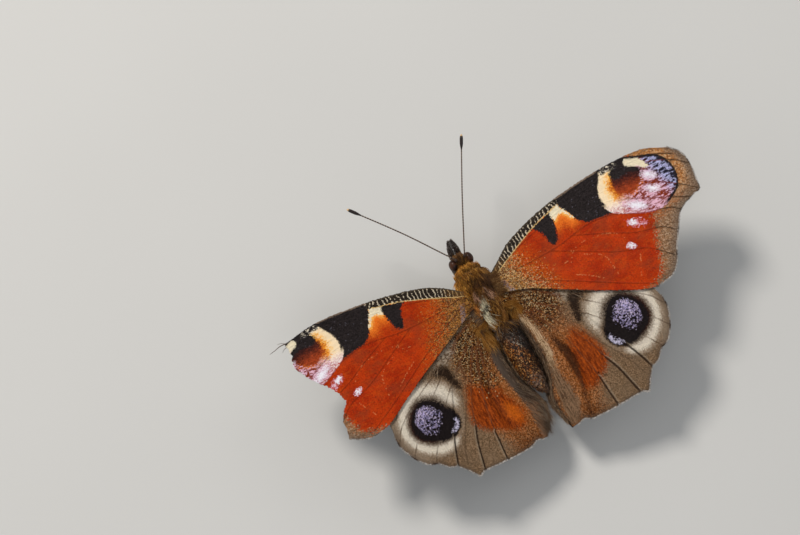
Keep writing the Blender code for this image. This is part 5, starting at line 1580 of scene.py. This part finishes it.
def makeLeg(kind, side, seed):
    sign = sideSign[side]
    path = [np.array(p) * (sign, 1, 1) for p in legPaths[kind]]
    shape = Shape()
    hip, knee, ankle, toe = path
    chest = hip + np.array([-0.7 * sign, 0.0, 1.2])
    foot = ankle + (toe - ankle) * footLength
    foot[2] = footHeight
    toe = toe.copy()
    toe[2] = footHeight

    def length(a, b, radii, box, steps=28, bend=0.12):
        middle = (a + b) / 2 + np.array([0, 0, bend])
        line = smoothLine([a, middle, b], steps)
        radii = smoothLine([(r, 0.0) for r in radii], steps)[:, 0]
        shape.bar(line, radii, 18, box)
        return line, radii

    length(chest, hip + (knee - hip) * 0.05, (0.42, 0.4, 0.3), (0.02, 0.02, 0.3, 0.2), 14, 0.0)
    femur = length(hip, knee, (0.24, 0.3, 0.27, 0.2), (0.02, 0.22, 0.98, 0.4))
    tibia = length(knee, ankle, (0.19, 0.22, 0.17, 0.18), (0.02, 0.42, 0.98, 0.6), 28, 0.1)
    marks = [ankle, foot, *(foot + (toe - foot) * s for s in (0.42, 0.62, 0.8, 0.97))]
    for k, (a, b) in enumerate(zip(marks[:-1], marks[1:])):
        wide = 0.165 - 0.008 * k
        length(a, b, (wide * 0.75, wide * 0.9, wide, wide * 0.95), (0.02, 0.62 + k * 0.06, 0.98, 0.67 + k * 0.06), 12, 0)
    way = unit(toe - foot)
    across = np.array([-way[1], way[0], 0.0])
    for turn in (-1, 1):  # claws and pads touch the floor
        claw = [toe, toe + way * 0.22 + across * 0.1 * turn + (0, 0, 0.02),
                toe + way * 0.36 + across * 0.17 * turn - (0, 0, 0.16)]
        line = smoothLine(claw, 10)
        shape.bar(line, np.linspace(0.07, 0.022, 11), 10, (0.35, 0.02 + (turn > 0) * 0.1, 0.6, 0.1 + (turn > 0) * 0.1))
    pad = smoothLine([toe + way * 0.02 - (0, 0, 0.02), toe + way * 0.16 - (0, 0, 0.1), toe + way * 0.24 - (0, 0, 0.11)], 8)
    shape.bar(pad, np.array([0.1, 0.11, 0.11, 0.105, 0.1, 0.1, 0.09, 0.09, 0.06]), 12, (0.65, 0.02, 0.95, 0.2))
    shape.points = [np.where(p[:, 2:] < 0, p * (1, 1, 0), p) for p in shape.points]
    shape.add(f"{kind}.{side}", [legFinish], nodes=[f"{kind}_{side}"], slot="leg_brown")
    rng = np.random.default_rng(seed)
    legHairs(femur[0], femur[1], 900, 0.36, rng, seed + 1, f"{kind}ThighHair.{side}")
    legHairs(tibia[0], tibia[1], 700, 0.24, rng, seed + 2, f"{kind}ShinHair.{side}", 0.016)
    foots = smoothLine(marks[1:], 30)
    legHairs(foots, 0.14, 300, 0.13, rng, seed + 3, f"{kind}FootHair.{side}", 0.014, 0.6)


def makeForeLeg(side, seed):  # a brush foot
    sign = sideSign[side]
    line = smoothLine(np.array(foreLegPath) * (sign, 1, 1), 40)
    radii = smoothLine([(0.22, 0), (0.26, 0), (0.22, 0), (0.14, 0)], 40)[:, 0]
    shape = Shape()
    shape.bar(line, radii, 18, (0.02, 0.1, 0.98, 0.6))
    shape.add("foreleg." + side, [legFinish], nodes=["foreleg_" + side], slot="leg_brown")
    legHairs(line, radii, 700, 0.42, np.random.default_rng(seed), seed + 1, "forelegHair." + side, 0.02, 0.5)


def legHairColours():
    p = Paint("legHair", Roughness=0.55, Specular_IOR_Level=0.15)
    a, b, c = p.chances()
    colour = steppedPick(p, b, [(0.4, (0.05, 0.030, 0.020)), (0.35, (0.13, 0.080, 0.050)), (0.25, (0.36, 0.26, 0.18))])
    # hairs darker towards the root: painted shade deep among them
    return p.finish(p.tint(colour, p.field("tip") * 0.4 + 0.7), a * 0.2 + 0.45)


print("legs")
legFinish = shellFinish("legSkin", (0.050, 0.030, 0.020), (0.15, 0.095, 0.06), 0.5, 0.25, 7.0, 0.05)
legHairFinish = legHairColours()
for number, side in enumerate(sideSign):
    makeLeg("midleg", side, 400 + number * 10)
    makeLeg("hindleg", side, 440 + number * 10)
    makeForeLeg(side, 480 + number * 10)

# floor, light and camera

stage = {"floor": 1.4, "grey": (0.56, 0.55, 0.53)}
paper = Paint("studioFloor", Roughness=0.85, Specular_IOR_Level=0.2)
where = paper.node("ShaderNodeNewGeometry", out=0)
fibre = paper.noise(where, 900.0, 4.0)
paper.finish(paper.mix(paper.ease(paper.noise(where, 14.0), 0.3, 0.7), stage["grey"],
                       tuple(0.97 * c for c in stage["grey"])), relief=fibre, depth=0.05, strength=0.15)
half = stage["floor"] / 2
mesh = bpy.data.meshes.new("floor")
mesh.from_pydata([(-half, -half, 0), (half, -half, 0), (half, half, 0), (-half, half, 0)], [], [(0, 1, 2, 3)])
mesh.materials.append(paper.material)
floor = bpy.data.objects.new("floor", mesh)
bpy.context.scene.collection.objects.link(floor)

lights = {  # azimuth from the head's side towards the animal's left, height angle, distance, size, watts, colour
    "key": (16, 48, 0.60, 0.16, 2.9, (1.0, 0.965, 0.91)),
    "fill": (150, 60, 0.70, 0.50, 0.8, (0.92, 0.96, 1.0)),
    "side": (-80, 35, 0.70, 0.40, 0.45, (1.0, 1.0, 1.0)),
}
aim = Vector(placeInRow((0, 4, 6)))
for name, (around, up, away, size, watts, colour) in lights.items():
    lamp = bpy.data.lights.new(name, "AREA")
    lamp.shape, lamp.size, lamp.energy, lamp.color = "DISK", size, watts, colour
    holder = bpy.data.objects.new(name, lamp)
    a, e = radians(around), radians(up)
    toLamp = Vector((sin(a) * cos(e), -cos(a) * cos(e), sin(e)))
    holder.location = aim + toLamp * away
    holder.rotation_mode = "QUATERNION"
    holder.rotation_quaternion = toLamp.to_track_quat("Z", "Y")
    bpy.context.scene.collection.objects.link(holder)
world = bpy.data.worlds.new("studio")
world.use_nodes = True
world.node_tree.nodes["Background"].inputs["Color"].default_value = (0.93, 0.96, 1.0, 1.0)
world.node_tree.nodes["Background"].inputs["Strength"].default_value = 0.36
bpy.context.scene.world = world
bpy.context.scene.view_settings.view_transform = "Standard"

shot = {"heading": 210.6, "tilt": 75.0, "away": 450.0, "pixels": 3330.0, "frame": 800.0, "middle": (0.0, 0.0, 6.5),
        "aside": (10.96, -3.57)}
a, e = radians(shot["heading"]), radians(shot["tilt"])
right = np.array([cos(a), -sin(a), 0.0])
ahead = np.array([sin(a) * cos(e), cos(a) * cos(e), -sin(e)])
up = np.cross(right, ahead)
eye = np.array(shot["middle"]) - right * shot["aside"][0] - up * shot["aside"][1] - ahead * shot["away"]
lens = bpy.data.cameras.new("photoView")
lens.sensor_fit, lens.sensor_width = "HORIZONTAL", 36.0
lens.lens = shot["pixels"] / shot["frame"] * lens.sensor_width
lens.clip_start, lens.clip_end = 0.01, 10.0
camera = bpy.data.objects.new("photoView", lens)
turned = Matrix(np.array([right, up, -ahead]).T.tolist()).to_4x4()
turned.translation = Vector(placeInRow(eye))
camera.matrix_world = turned
bpy.context.scene.collection.objects.link(camera)
bpy.context.scene.camera = camera
